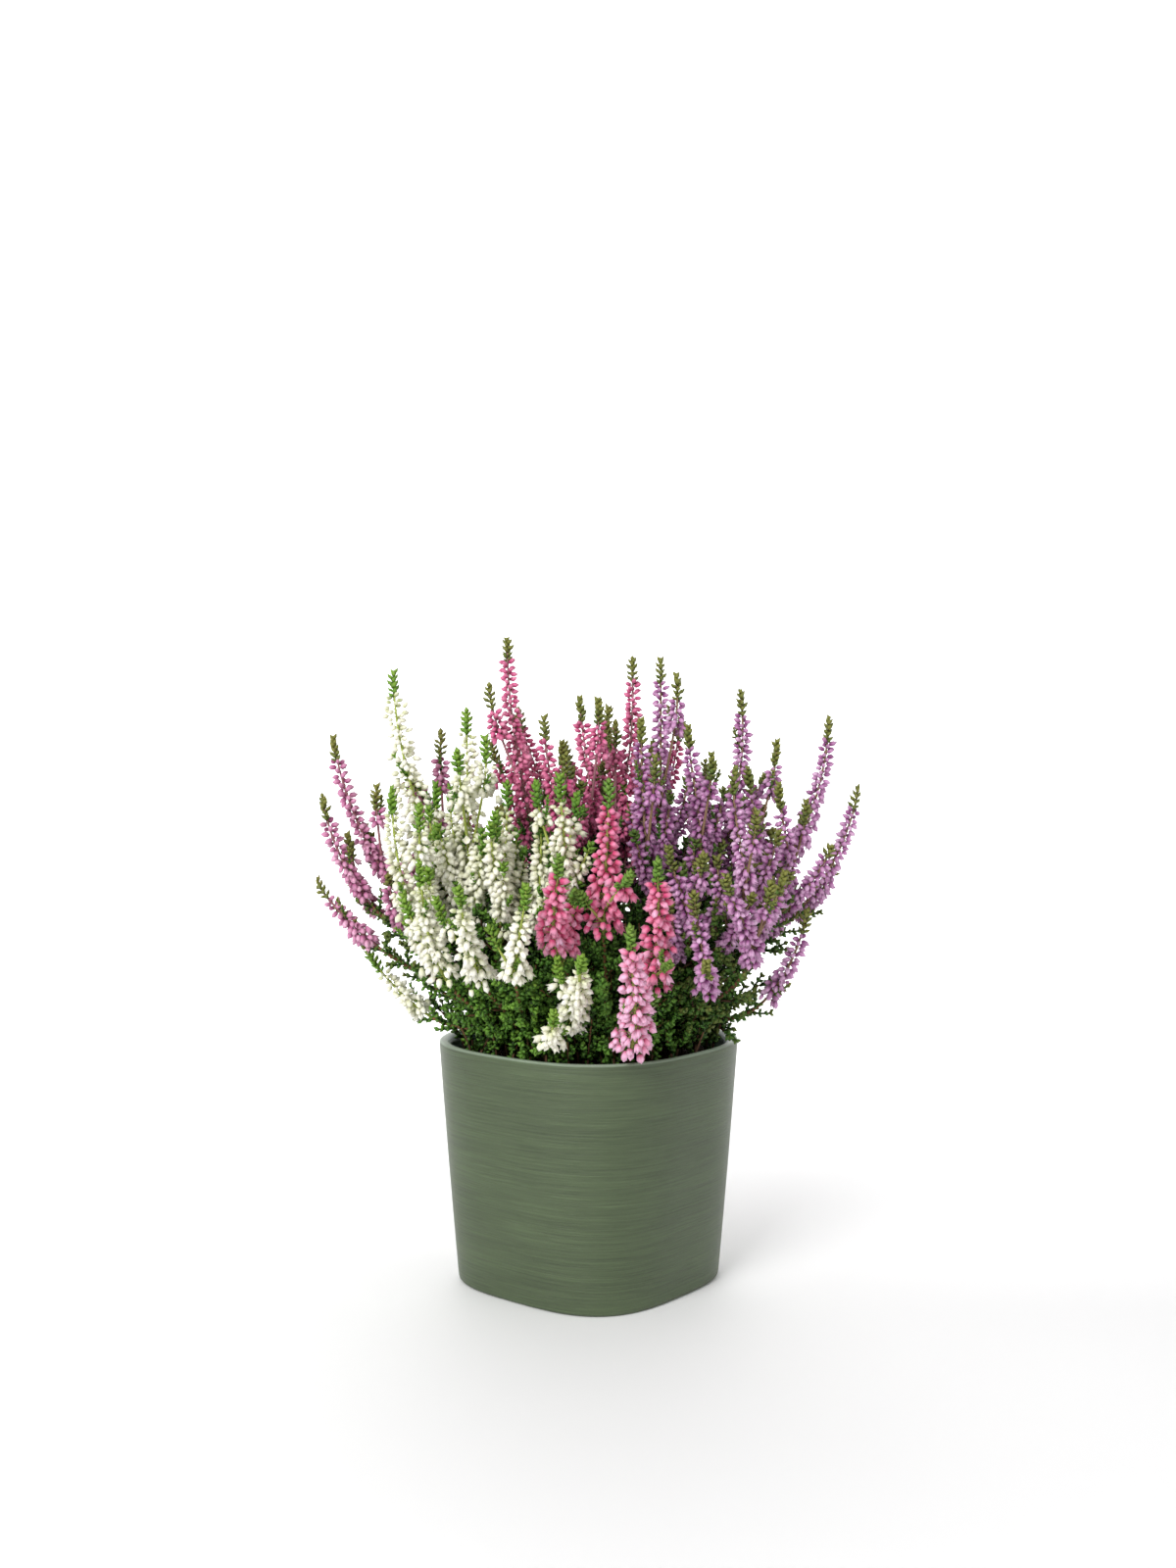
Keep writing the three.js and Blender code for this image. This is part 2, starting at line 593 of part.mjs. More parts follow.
// Each shoot takes the first of its tries that touches neither pot, peat, spike, stem nor clump.
function listShoots(sprays) {
  const spikes = sprays.flatMap((spray) => spray.tips.map((tip) => spikeBeads(spray, tip)));
  const clumps = Object.entries(PLANTS).map(([plant, { foot }]) => ({ plant, row: clumpBeads(foot) }));
  const cords = sprays.map((spray) => ({ plant: spray.plant, row: stemBeads(spray) }));
  const isClear = (plant, curve) => {
    const row = shootBeads(curve);
    const free = row.slice(SHOOT_ROOT);
    return clearOfPot(row)
      && !spikes.some((other) => worstOverlap(row, other))
      && !clumps.some((other) => other.plant !== plant && worstOverlap(row, other.row))
      && !cords.some((other) => worstOverlap(other.plant === plant ? free : row, other.row));
  };
  const shoots = [];
  for (const { plant, phase, tries } of shootPlaces(sprays)) {
    const curve = tries.find((attempt) => isClear(plant, attempt));
    if (!curve) continue;
    cords.push({ plant, row: shootBeads(curve) });
    shoots.push({ plant, phase, curve });
  }
  return shoots;
}

// The clump round a stem base: a squat spike of leaf points, a little under its neighbours' reach.
function clumpCurve([x, y]) {
  const foot = new THREE.Vector3(x, y, PEAT_EDGE + PEAT_MOUND + PEAT_RELIEF);
  return new THREE.LineCurve3(foot, foot.clone().addScaledVector(UP, CLUMP_HEIGHT));
}

function clumpGeometry(foot) {
  const rings = CLUMP_RINGS.map(([rise, core, point]) => (
    { at: rise / CLUMP_HEIGHT, core, point, lean: rise > 0 ? CLUMP_LEAN : 0 }
  ));
  return scalyTube(clumpCurve(foot), rings, CLUMP_COLUMNS, 0, true);
}

function clumpBeads(foot) {
  return CLUMP_RINGS.map(([rise, , point]) => (
    { place: clumpCurve(foot).getPoint(rise / CLUMP_HEIGHT), radius: point }
  ));
}

function baseGeometry([x, y]) {
  const floor = PEAT_EDGE - HOLE_DEPTH + SEAT_GAP;
  const top = PEAT_EDGE + PEAT_MOUND + BASE_RISE;
  const profile = [[BASE_TOE, floor], [BASE_RADIUS, PEAT_EDGE], [BASE_NECK, top]];
  return roundBody(x, y, profile);
}

function stemsGeometry(plant, sprays, shoots) {
  const stems = sprays.filter((spray) => spray.plant === plant).map((spray) => {
    const curve = stemCurve(spray);
    const length = curve.getLength();
    const steps = Math.max(2, Math.round(length / STEM_PITCH));
    const rings = cordRings(steps, STEM_RADIUS, STEM_LEAF, length, STEM_PLAIN);
    return scalyTube(curve, rings, STEM_COLUMNS, spray.number, false);
  });
  const cords = shoots.filter((shoot) => shoot.plant === plant).map(({ curve, phase }) => {
    const length = curve.getLength();
    const rings = cordRings(Math.round(length / SHOOT_PITCH), SHOOT_RADIUS, SHOOT_LEAF, length, 0);
    return scalyTube(curve, rings.slice(0, -1), STEM_COLUMNS, phase, true);
  });
  const { foot } = PLANTS[plant];
  return union([baseGeometry(foot), clumpGeometry(foot), ...stems, ...cords]);
}

function piece(name, geometry, color, roughness) {
  const mesh = new THREE.Mesh(geometry, new THREE.MeshStandardMaterial({ color, roughness, metalness: 0 }));
  mesh.name = name;
  return mesh;
}

function pottedHeather() {
  const group = new THREE.Group();
  group.name = 'potted_heather';
  group.add(piece('pot', potGeometry(), POT_COLOUR, POT_ROUGHNESS));
  group.add(piece('soil', peatGeometry(), PEAT_COLOUR, PEAT_ROUGHNESS));
  const sprays = listSprays();
  growStems(sprays);
  spreadSprays(sprays);
  const shoots = listShoots(sprays);
  for (const [plant, { leaf }] of Object.entries(PLANTS)) {
    group.add(piece(`${plant}_stems`, stemsGeometry(plant, sprays, shoots), leaf, LEAF_ROUGHNESS));
  }
  for (const spray of sprays) {
    const name = `${spray.plant}_spray_${String(spray.number).padStart(2, '0')}`;
    group.add(piece(name, sprayGeometry(spray), PLANTS[spray.plant].flower, FLOWER_ROUGHNESS));
  }
  return group;
}

export default pottedHeather();
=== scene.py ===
import contextlib
import json
import math

import bmesh
import bpy
import numpy as np
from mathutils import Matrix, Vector, noise

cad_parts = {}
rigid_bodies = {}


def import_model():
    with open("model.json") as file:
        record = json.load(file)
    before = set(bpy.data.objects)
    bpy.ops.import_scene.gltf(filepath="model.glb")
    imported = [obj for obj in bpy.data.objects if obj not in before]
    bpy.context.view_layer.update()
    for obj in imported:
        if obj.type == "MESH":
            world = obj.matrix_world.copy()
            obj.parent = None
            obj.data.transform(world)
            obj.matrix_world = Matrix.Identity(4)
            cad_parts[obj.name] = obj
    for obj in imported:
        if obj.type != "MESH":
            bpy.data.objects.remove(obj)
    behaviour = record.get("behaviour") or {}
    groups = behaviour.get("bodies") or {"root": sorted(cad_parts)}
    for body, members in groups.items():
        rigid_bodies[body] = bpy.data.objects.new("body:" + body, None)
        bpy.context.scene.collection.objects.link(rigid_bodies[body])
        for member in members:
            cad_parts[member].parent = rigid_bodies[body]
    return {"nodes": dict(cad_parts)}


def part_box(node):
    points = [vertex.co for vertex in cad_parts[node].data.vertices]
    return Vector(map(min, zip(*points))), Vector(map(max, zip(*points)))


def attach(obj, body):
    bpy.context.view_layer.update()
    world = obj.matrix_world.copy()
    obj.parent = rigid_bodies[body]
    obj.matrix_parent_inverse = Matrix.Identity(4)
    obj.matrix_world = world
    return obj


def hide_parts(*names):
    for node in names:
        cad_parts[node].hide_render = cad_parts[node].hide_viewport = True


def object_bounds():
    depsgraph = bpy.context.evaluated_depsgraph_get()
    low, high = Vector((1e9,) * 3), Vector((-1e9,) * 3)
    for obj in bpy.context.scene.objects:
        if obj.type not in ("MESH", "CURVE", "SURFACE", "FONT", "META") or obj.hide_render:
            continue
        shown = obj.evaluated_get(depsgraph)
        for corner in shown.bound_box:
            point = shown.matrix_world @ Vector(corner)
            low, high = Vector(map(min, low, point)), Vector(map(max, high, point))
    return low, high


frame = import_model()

# Potted heather: five young heather plants of different colours, rooted in the peat of one glazed pot.
# Plants and curves are worked out in millimetres, and every piece is written in metres.

bl_info = {
    "name": "Potted Heather",
    "version": (1, 0, 0),
    "blender": (4, 5, 0),
    "location": "3D View > Sidebar > Heather",
    "description": "Builds five flowering heather plants in a glazed pot around a fixed frame",
    "category": "Add Mesh",
}

BODY = "root"
MM = 0.001
GOLDEN = 0.6180339887
GOLDEN_TURN = 2 * math.pi * GOLDEN
FULL_TURN = 2 * math.pi
UP = np.array([0.0, 0.0, 1.0])
CAD_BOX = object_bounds()
CAD_BOX_MM = [np.array(corner) / MM for corner in CAD_BOX]


def fraction(value):
    return value - np.floor(value)


def mix(a, b, share):
    return a + (b - a) * share


def rising(values, start, width):
    """0 up to a start, and then rising to 1 over a width."""
    return np.clip((values - start) / width, 0, 1)


def unit(vectors):
    return vectors / np.maximum(np.linalg.norm(vectors, axis=-1, keepdims=True), 1e-9)


def toward(turn):
    """A level direction of length 1, at an angle round the upright axis."""
    return np.array([math.cos(turn), math.sin(turn), 0])


def bearing(place):
    """The angle round the upright axis at which a place lies."""
    return math.atan2(place[1], place[0])


def paint(code):
    """The linear colour of a six-digit screen colour."""
    channels = [int(code[start:start + 2], 16) / 255 for start in (0, 2, 4)]
    return tuple(c / 12.92 if c < 0.04045 else ((c + 0.055) / 1.055) ** 2.4 for c in channels)


# Pot: a rounded square that widens upwards, turned so that one rounded corner faces the viewer.
POT_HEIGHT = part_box("pot")[1].z / MM
POT_RIM_HALF = 62
POT_FOOT_HALF = 51.6
POT_RIM_EXPONENT = 2.63
POT_FOOT_EXPONENT = 3.17
POT_TURN = 0.883
POT_SIDES = 120
POT_FLOOR = 7
POT_BANDS = 18
POT_SQUARED = 12
WALL_CLEARANCE = 6
WALL_MIDDLE = 0.62
LIP_CLEARANCE = 1.5
EDGE_STEPS = 4
SMOOTH_UNDER = math.radians(40)

# Peat: a low mound of crumbs, a little under the lip.
PEAT_EDGE = 100
PEAT_MOUND = 3
PEAT_CLEARANCE = 0.5
PEAT_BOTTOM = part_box("soil")[0].z / MM
PEAT_RINGS = 22
PEAT_SIDES = 96
PEAT_LUMPS = ((0.16, 3, 1.4), (0.55, 9, 0.9))
CRUMB_COUNT = 600
CRUMB_LEAST = 0.25
CRUMB_SHARES = (0.15, 1)
CRUMB_POWER = 2.2
CRUMB_SCATTER = 1.2
CRUMB_RISE = 0.2
STRAW_COUNT = 70
STRAW_LENGTHS = (4, 9)
STRAW_RADII = (0.32, 0.2)
STRAW_RISE = (0.4, 0.6)
LITTER_TONE = 0.5

# Each plant: where it stands, how broad its spikes are, how close its flowers sit, its buds against
# the usual length and width, how many filler spikes each stem carries, and its colours: flowers from
# young to pale, leaves from deep to fresh, and bark from base to tip.
# The deepest leaf green stands for painted shade on leaves inside the plant.
PLANTS = {
    "white": {
        "foot": (-27, -18), "breadth": 1.12, "density": 1.08, "bud": (0.84, 1.0), "fillers": 7,
        "flowers": ("a8b46a", "d0d2a8", "f5f2e0", "fffdf6"),
        "leaves": ("1a3010", "4c7826", "66902e", "7c9e38"),
        "bark": ("463222", "7a5638", "a6b458"),
    },
    "mauve": {
        "foot": (-32, 22), "breadth": 0.75, "density": 0.85, "bud": (0.8, 0.95), "fillers": 3,
        "flowers": ("8f5f70", "94406e", "c97ca6", "ecbcd4"),
        "leaves": ("1a2e10", "457026", "667034", "82803e"),
        "bark": ("422e22", "76503a", "96646a"),
    },
    "pink": {
        "foot": (0, 27), "breadth": 0.85, "density": 1.15, "bud": (0.74, 0.88), "fillers": 3,
        "flowers": ("a8546a", "a83066", "dc6596", "f4a6c2"),
        "leaves": ("1a2e10", "457026", "646e32", "7e803c"),
        "bark": ("422e22", "76503a", "a07076"),
    },
    "rose": {
        "foot": (10, -28), "breadth": 1.2, "density": 1.2, "bud": (0.86, 1.08), "fillers": 1,
        "flowers": ("cc8c80", "c4346a", "ea6c94", "eec0dc"),
        "leaves": ("1a3010", "4a7826", "5e8830", "72903a"),
        "bark": ("422e22", "7a5638", "a0a858"),
    },
    "lilac": {
        "foot": (34, 3), "breadth": 0.85, "density": 1.12, "bud": (0.76, 0.86), "fillers": 4,
        "flowers": ("80607c", "823474", "c583b8", "ebc6e4"),
        "leaves": ("1a2e10", "457026", "646e32", "7e803c"),
        "bark": ("402e22", "74503a", "8c7258"),
    },
}
PALE_SPRAY = "rose_spray_04"
PALE_SHIFT = 0.34

# Flower sprays that the photograph shows: the plant, the foot where the spray leaves its stem, and
# the tip of each spike. x and z are measured on the photograph, y is judged from what hides what.
FRONT_SPRAYS = [
    ("white", (-65, -14, 179), [(-87, -6, 273), (-68, -10, 222)]),
    ("white", (-52, -28, 178), [(-55, -16, 255), (-45, -26, 243), (-55, -42, 237)]),
    ("white", (-69, -42, 154), [(-85, -32, 221), (-71, -54, 214)]),
    ("white", (-37, -46, 174), [(-35, -36, 223), (-39, -60, 211)]),
    ("white", (-14, -52, 178), [(-12, -62, 227), (-22, -54, 224), (-5, -48, 218)]),
    ("white", (-30, -64, 142), [(-25, -90, 184), (-40, -80, 166)]),
    ("white", (-9, -58, 122), [(-3, -98, 157), (-13, -90, 153)]),
    ("white", (-17, -50, 115), [(-14, -80, 133)]),
    ("white", (-70, -8, 118), [(-98, -10, 147)]),
    ("white", (-59, -54, 139), [(-69, -74, 192), (-78, -58, 177)]),
    ("white", (-44, -60, 140), [(-51, -90, 184), (-62, -86, 177)]),
    ("mauve", (-88, -6, 178), [(-116, 6, 243), (-94, -12, 221)]),
    ("mauve", (-96, -16, 169), [(-117, -18, 217), (-107, -12, 199)]),
    ("mauve", (-92, -26, 152), [(-119, -26, 181)]),
    ("mauve", (-65, 10, 197), [(-82, 6, 228), (-68, 16, 245)]),
    ("pink", (-26, 12, 204), [(-38, 22, 290), (-45, 10, 266)]),
    ("pink", (-13, -12, 196), [(-20, -4, 252), (-10, -22, 235)]),
    ("pink", (-1, 2, 198), [(-4, 10, 261), (4, 2, 260)]),
    ("pink", (9, 12, 199), [(20, 24, 280), (12, 14, 249)]),
    ("rose", (6, -58, 160), [(8, -84, 225), (-4, -84, 180), (16, -86, 189)]),
    ("rose", (-13, -66, 153), [(-12, -96, 196)]),
    ("rose", (25, -60, 137), [(27, -98, 194), (32, -88, 152)]),
    ("rose", (17, -52, 113), [(16, -104, 169), (26, -78, 138)]),
    ("lilac", (32, 0, 204), [(33, 14, 279), (39, 4, 271)]),
    ("lilac", (61, 8, 200), [(69, 12, 264)]),
    ("lilac", (48, -20, 189), [(44, -10, 248), (53, -30, 235)]),
    ("lilac", (26, -30, 187), [(23, -16, 251), (28, -44, 234)]),
    ("lilac", (69, -12, 181), [(70, -14, 229), (84, -2, 241)]),
    ("lilac", (89, 12, 186), [(110, 16, 252)]),
    ("lilac", (83, -24, 169), [(81, -34, 223), (95, -24, 215)]),
    ("lilac", (96, 0, 167), [(121, -2, 221)]),
    ("lilac", (64, -46, 171), [(62, -46, 230), (69, -64, 212)]),
    ("lilac", (66, -50, 145), [(54, -84, 188), (74, -74, 183), (82, -58, 186)]),
    ("lilac", (43, -40, 158), [(33, -66, 197), (46, -72, 195)]),
    ("lilac", (49, -58, 134), [(42, -94, 180), (46, -86, 154)]),
    ("lilac", (75, -22, 126), [(94, -34, 168)]),
]

# Sprays at the back, out of the photograph's sight: three tiers on a fan round the pot's axis.
BACK_COUNT = 16
BACK_FAN = (0.13, 0.85)
BACK_TIERS = (
    {"foot_reach": 54, "foot_height": 130, "tip_reach": 98, "tip_height": 178},
    {"foot_reach": 52, "foot_height": 168, "tip_reach": 84, "tip_height": 222},
    {"foot_reach": 30, "foot_height": 190, "tip_reach": 52, "tip_height": 254},
)
BACK_FORK = 0.26
BACK_FORK_DROP = 14
BACK_WOBBLE = 9
BACK_LILAC_FROM = 26
BACK_MAUVE_FROM = -24

# Spikes and stems, as in the frame.
SEAT_GAP = 0.3
SPIKE_NECK = 1.1
SPIKE_RADIUS = 5.2
SPIKE_RADIUS_PER_LENGTH = 0.05
SPIKE_TOP_SHARE = 0.58
SPIKE_TAPER = 1.6
SPIKE_BARE = 4
SPIKE_BOW = 0.09
SIDE_FROM = 0.1
SIDE_SHARES = np.arange(0.1, 0.55, 0.05)
SIDE_LATEST = 0.55
SIDE_NESTLE = 0.8
SPREAD_SAMPLES = 9
LENGTH_SAMPLES = 201
TIP_LENGTH = 11
BASE_RISE = 9
STEM_RISE = 0.42
STEM_FORKS = (0.3, 0.5, 0.7)
STEM_FORK_RISE = 24
SHOOT_PLACES = (0.5, 0.72, 0.34)
SHOOT_LENGTH = 20
SHOOT_SLOPE = 0.7
SHOOT_RISE = 0.2
SHOOT_SWING = (0.3, 0.7)
COLLAR_COUNT = 5
COLLAR_RISE = 6.3
COLLAR_LENGTHS = (27, 36)
COLLAR_SLOPES = (0.3, 0.55, 0.9, 1.4)
FOUND_WITHIN = 0.02
FOOT_WITHIN = 1.6

# Bud and bell: each ring's height and radius, the seams between sepals, the bell's wall, throat and
# sepals, against the flower's length and half its width, and the part of a petal that the bell shows.
ON_AXIS = 1e-4
BUD_SIDES = 8
BUD_RINGS = ((0, 0), (0.2, 0.88), (0.64, 0.92), (1, 0))
SEAM_DEPTH = 0.84
BELL_BASE = 0.45
BELL_WALL = ((0.36, 2.0), (0.3, 1.04))
BELL_THROAT = ((0.1, 0.05), (0.5, 0.3))
BELL_RIM = 0.06
SEPAL_SPLAY = 1.3
SEPAL_LENGTH = 0.34
BELL_SPAN = (0.25, 1.0)

# Scale leaf, against its length: its upper cone, how far its base lies below it and behind, how it is
# flattened, and how far its tip curls.
LEAF_CONE = 0.45
LEAF_MIDDLE = 0.775
LEAF_BASE = (0, -0.05, -0.55)
LEAF_FLATTENED = (1.15, 0.85, 1)
LEAF_CURL = (0, 0.1, 0)

# Twigs: how many sides and segments each has, and how far the knots of a stem stand out.
TWIGS = {"stem": (6, 14, 0.12), "axis": (5, 10), "shoot": (4, 4), "cord": (3, 2)}

# Crumb, as it is roughened and flattened.
CRUMB_ROUGHNESS = 0.28
CRUMB_SEED = 4
CRUMB_FLATTENED = (1.15, 0.9, 0.7)

# Flowers along a spike. Pairs go from its foot to its top, are the least and the most of a draw, or,
# in DEEP_TOP and YOUNG_WHITE, are where a change starts and how far it takes.
BUD_DENSITY = (2.6, 1.2)
BUD_CROWDING = 0.8
BUD_LIFT = (-0.95, 0.3)
BUD_LIFT_SPREAD = 0.2
BUD_TURN_SPREAD = 0.25
BUD_LENGTHS = (1.1, 1.14)
BUD_WIDTHS = (1.12, 1.0)
BUD_SIZES = (0.86, 1.12)
BUD_REACH = (0.5, 0.94)
BUD_FOLLOWS_SPIKE = 0.6
BUD_NEAREST = 0.7
BUD_SWING = 0.4
BUD_TONE = 0.62
BUD_TONE_SPREAD = 0.15
SPIKE_TONE_SPREAD = 0.05
BUD_TONES = (0.3, 0.95)
# Buds deep inside the plants are darkened by this share: painted shade.
BUD_SHADE = 0.55
DEEP_TOP = (0.8, 0.2)
YOUNG_WHITE = (0.68, 0.3)
YOUNG_WHITE_SIZE = 0.72
YOUNG_WHITE_TONE = 0.12
STALK_RADIUS = 0.26
STALK_DROP = 0.8
STALK_SUNK = 0.6
BELLS_BELOW = 0.4
BELL_EVERY = 4
FILLER_LENGTHS = (28, 44)
FILLER_TIP = 0.15
FILLER_FROM = (0.45, 0.98)
FILLER_ABOVE = 142
SIDE_LEAN = (1, 0.9, 0.3)
FILLER_BEND = (0, 0.7)
FILLER_MARGIN = 7
FILLER_BARE = 0.2
FILLER_BREADTH = 0.8

# Cords of scale leaves: how close the pairs stand, how far they open, and each leaf's size against
# the usual width and length.
CORD_PITCH = 2.0
CORD_SPREAD = 0.6
CORD_LENGTH = 11
CORD_LEAF = (2.35, 1.3)
CORD_TWIG = (0.7, 0.5)
CORD_CLOSED = 0.4
CORD_ENDS = 0.82
TIP_PITCH = 1.25
TIP_SPREAD = 0.62
TIP_LEAF = (2.5, 1.75)
TIP_TONES = (0.46, 0.66)
TIP_OVERLAP = 0.03
SPRIG_LEAF = (1.4, 1.1)
SPRIG_SHARES = (0.05, 1)
SPRIG_HIGHEST = 0.62
SPRIG_LENGTHS = (9, 13)
SPRIG_TONES = (0.4, 0.6)
LEAF_SIZES = (0.85, 1.15)
LEAF_TURN_SPREAD = 0.2
LEAF_OPEN_SPREAD = 0.08
LEAF_TONE_SPREAD = 0.05
# Leaves deep inside the plants are darkened by this share: painted shade.
LEAF_SHADE = 0.3

# Twigs, with a radius at either end, and the leafy fronds that they make with cords on both sides.
TWIG_STRETCH = (0, 0.96)
TWIG_TOP = 0.98
SPIKE_AXIS = (0.72, 0.46)
FROND_TWIG = (0.6, 0.3)
FROND_FROM = 1.35
FROND_STEP = 4.2
FROND_LEAN = (1, 0.8, 0.15)
FROND_HIGHEST = 0.92
FROND_TAPER = 0.6
FROND_LENGTHS = (0.65, 1.1)
FROND_TURN_SPREAD = 0.5
CORD_BEND = (0.4, 0)
BASE_RADII = (3.2, 2.2)
BASE_DEPTH = -9
STEM_TOP_RADIUS = 0.62
STEM_ALONE = 1.15
STEM_FORKED = 0.75
# Leaves on the stems, inside the plant, take deep tones: painted shade.
STEM_LEAF_TONES = (0.15, 0.35)
STEM_LEAF_PITCH = 2.2

# Leafy shoots: on the stems, in a clump round each base, all over the peat and out over the lip.
STEM_SHOOT_PITCH = 3.4
STEM_SHOOT_FROM = 0.12
STEM_SHOOT_LENGTHS = (24, 10)
STEM_SHOOT_SIZES = (0.7, 1.15)
STEM_SHOOT_RISE = 0.2
STEM_SHOOT_BEND = (0, 0.25)
STEM_SHOOT_MARGIN = 4
# Shoots low on a stem take deeper tones than high ones: painted shade.
STEM_SHOOT_TONES = ((0.1, 0.24), (0.3, 0.46))
COLLAR_TONES = (0.2, 0.42)
LOW_SHOOT_TONES = (0.16, 0.46)
CLUMP_SHOOTS = 24
CLUMP_HEIGHTS = (92, 34)
CLUMP_REACH = 13
CLUMP_SPLAY = 1.5
CLUMP_SIZES = (0.85, 1.1)
CLUMP_FEET = (1, 8)
TUFT_COUNT = 140
TUFT_INSET = 7
TUFT_LENGTHS = (95, 22)
TUFT_SIZES = (0.8, 1.25)
TUFT_LEANS = (-0.2, 0.35)
TUFT_SCATTER = 0.22
SKIRT_COUNT = 13
SKIRT_LENGTHS = (32, 54)
SKIRT_SLOPES = (0.2, 0.9)
SKIRT_SWING = 1.9
SKIRT_FEET = (6, 14)
SKIRT_MARGIN = 6

# The plants' outer part, which the light reaches: its distance from the axis at the lip and high up,
# and where places start to be open and how far it takes, outwards and upwards.
# Buds and leaves further in than this outer part are darkened by BUD_SHADE and LEAF_SHADE: painted
# shade.
OUTER_REACH = (60, 105)
OUTER_RISE = (POT_HEIGHT, 110)
OPEN_OUTWARDS = (0.35, 0.45)
OPEN_UPWARDS = (195, 40)

# How far before the frame's box what reaches past it is eased back, and how much of that it may fill.
BOX_EASING = 3.0
BOX_SHARE = 0.98

# Bands of the leaf map's height: leaves below, bark above. The tone of each leaf, bud or twig changes
# a little from one side of it to the other, along a line across it that is turned by TONE_TURN.
LEAF_BAND = (0.04, 0.66)
BARK_BAND = (0.78, 0.96)
TONE_WIDTH = 0.06
TONE_TURN = 0.35
STRIPES = 2 * math.pi * 2.5 / TONE_WIDTH

# Glaze and peat: the streaks, each with its stretch, scale, detail and roughness, the peat's lumps and
# grit, the shades along their ramps, the lip's painted highlight, and each relief's depth in metres.
STREAKS = ((48, 24, 5, 0.66), (9, 12, 3, 0.5), (60, 60, 3, 0.6))
GLAZE_SHADES = ((0.34, 0.62), (0.5, 1), (0.68, 1.55))
GLAZE_RELIEF = 0.0006
# The band under the lip is painted paler: a painted highlight.
LIP_HIGHLIGHT_BAND = 1.2
LIP_HIGHLIGHT_SHARE = 0.6
LIP_HIGHLIGHT_COLOUR = paint("b4c4b0")
LUMP_GRAIN = (260, 4, 0.7)
GRIT_GRAIN = (1300, 3, 0.6)
PEAT_SHADES = ((0.35, 0.35), (0.55, 1))
PEAT_RELIEF = 0.0008
DRY_CRUMB = (0.75, paint("5d4634"))

# Petals and leaves: where a petal's colours stand between a young tone and a pale one, and for each
# part of their length where it starts, where it is full and how strong its colour is.
PETAL_STOPS = (0, 0.12, 0.2, 0.6, 1)
# A petal's deeper base is partly its own colour and partly painted shade; its paler tip is a painted
# highlight.
PETAL_BASE = (0.45, 0.08, 0.7)
PETAL_TIP = (0.3, 0.75, 0.3)
PETAL_CALYX = (0.12, 0.05)
PETAL_STRIPE = 0.18
# A leaf's darker foot, where it sits on its twig, is painted shade.
LEAF_FOOT = (0.4, 0.0, 0.5)
LEAF_TIP = (0.75, 1.0, 0.3)

# Camera and stage, in metres. The camera stands where the photograph was taken from.
CAMERA_DISTANCE = 0.764
CAMERA_PITCH = math.radians(1.49)
CAMERA_AIM = (-0.0005, 0.0, 0.2221)
CAMERA_LENS = 39.03
FLOOR_SIZE = 5
COVE_RADIUS = 1.4
COVE_STEPS = 24

# Soft lights, in metres: where each stands, where it aims, its size, and its power against the key.
PLANT_MIDDLE = Vector(CAMERA_AIM) * 0.7
LIGHTS = (
    ("key", (-0.75, -1.35, 1.05), PLANT_MIDDLE, 0.8, 1),
    ("fill", (1.3, -1.0, 0.7), PLANT_MIDDLE, 1.2, 0.2),
    ("backdrop", (0, 0.8, 1.7), (0, 2.4, 0.9), 1.8, 3),
)


class HeatherPot(bpy.types.PropertyGroup):
    """Sizes and colours of the pot."""

    wall: bpy.props.FloatProperty(
        name="Wall", description="Thickness of the pot's wall", default=0.005, unit="LENGTH")
    lip_edge: bpy.props.FloatProperty(
        name="Lip Edge", description="Rounding of the lip's outside", default=0.0011, unit="LENGTH")
    inner_edge: bpy.props.FloatProperty(
        name="Inner Edge", description="Rounding of the lip's inside", default=0.003, unit="LENGTH")
    foot_edge: bpy.props.FloatProperty(
        name="Foot Edge", description="Rounding of the foot", default=0.002, unit="LENGTH")
    glaze: bpy.props.FloatVectorProperty(
        name="Glaze", description="Colour of the glaze", default=paint("465438"),
        subtype="COLOR", min=0, max=1)
    inside: bpy.props.FloatVectorProperty(
        name="Inside", description="Colour of the glaze inside", default=paint("76948a"),
        subtype="COLOR", min=0, max=1)


class HeatherPeat(bpy.types.PropertyGroup):
    """Size and colour of the peat."""

    crumb: bpy.props.FloatProperty(
        name="Crumb", description="Width of a large crumb", default=0.0042, unit="LENGTH")
    colour: bpy.props.FloatVectorProperty(
        name="Colour", description="Colour of damp peat", default=paint("33241a"),
        subtype="COLOR", min=0, max=1)


class HeatherFlowers(bpy.types.PropertyGroup):
    """Size of the flowers."""

    length: bpy.props.FloatProperty(
        name="Bud Length", description="Length of a full bud", default=0.0046, unit="LENGTH")
    width: bpy.props.FloatProperty(
        name="Bud Width", description="Width of a full bud", default=0.0026, unit="LENGTH")


class HeatherLeaves(bpy.types.PropertyGroup):
    """Sizes of the scale leaves and twigs."""

    length: bpy.props.FloatProperty(
        name="Leaf Length", description="Length of a scale leaf", default=0.0026, unit="LENGTH")
    width: bpy.props.FloatProperty(
        name="Leaf Width", description="Width of a scale leaf", default=0.0011, unit="LENGTH")
    stem: bpy.props.FloatProperty(
        name="Stem", description="Radius of a stem at its foot", default=0.0012, unit="LENGTH")


class HeatherStage(bpy.types.PropertyGroup):
    """Floor and light of the stage."""

    floor: bpy.props.FloatVectorProperty(
        name="Floor", description="Colour of the floor", default=(0.94, 0.94, 0.94),
        subtype="COLOR", min=0, max=1)
    sky: bpy.props.FloatProperty(
        name="Sky", description="Strength of the light from all round", default=0.42, min=0)
    key: bpy.props.FloatProperty(
        name="Key", description="Power of the main soft light", default=26, unit="POWER")


class HeatherSettings(bpy.types.PropertyGroup):
    """All settings of the potted heather."""

    pot: bpy.props.PointerProperty(type=HeatherPot)
    peat: bpy.props.PointerProperty(type=HeatherPeat)
    flowers: bpy.props.PointerProperty(type=HeatherFlowers)
    leaves: bpy.props.PointerProperty(type=HeatherLeaves)
    stage: bpy.props.PointerProperty(type=HeatherStage)


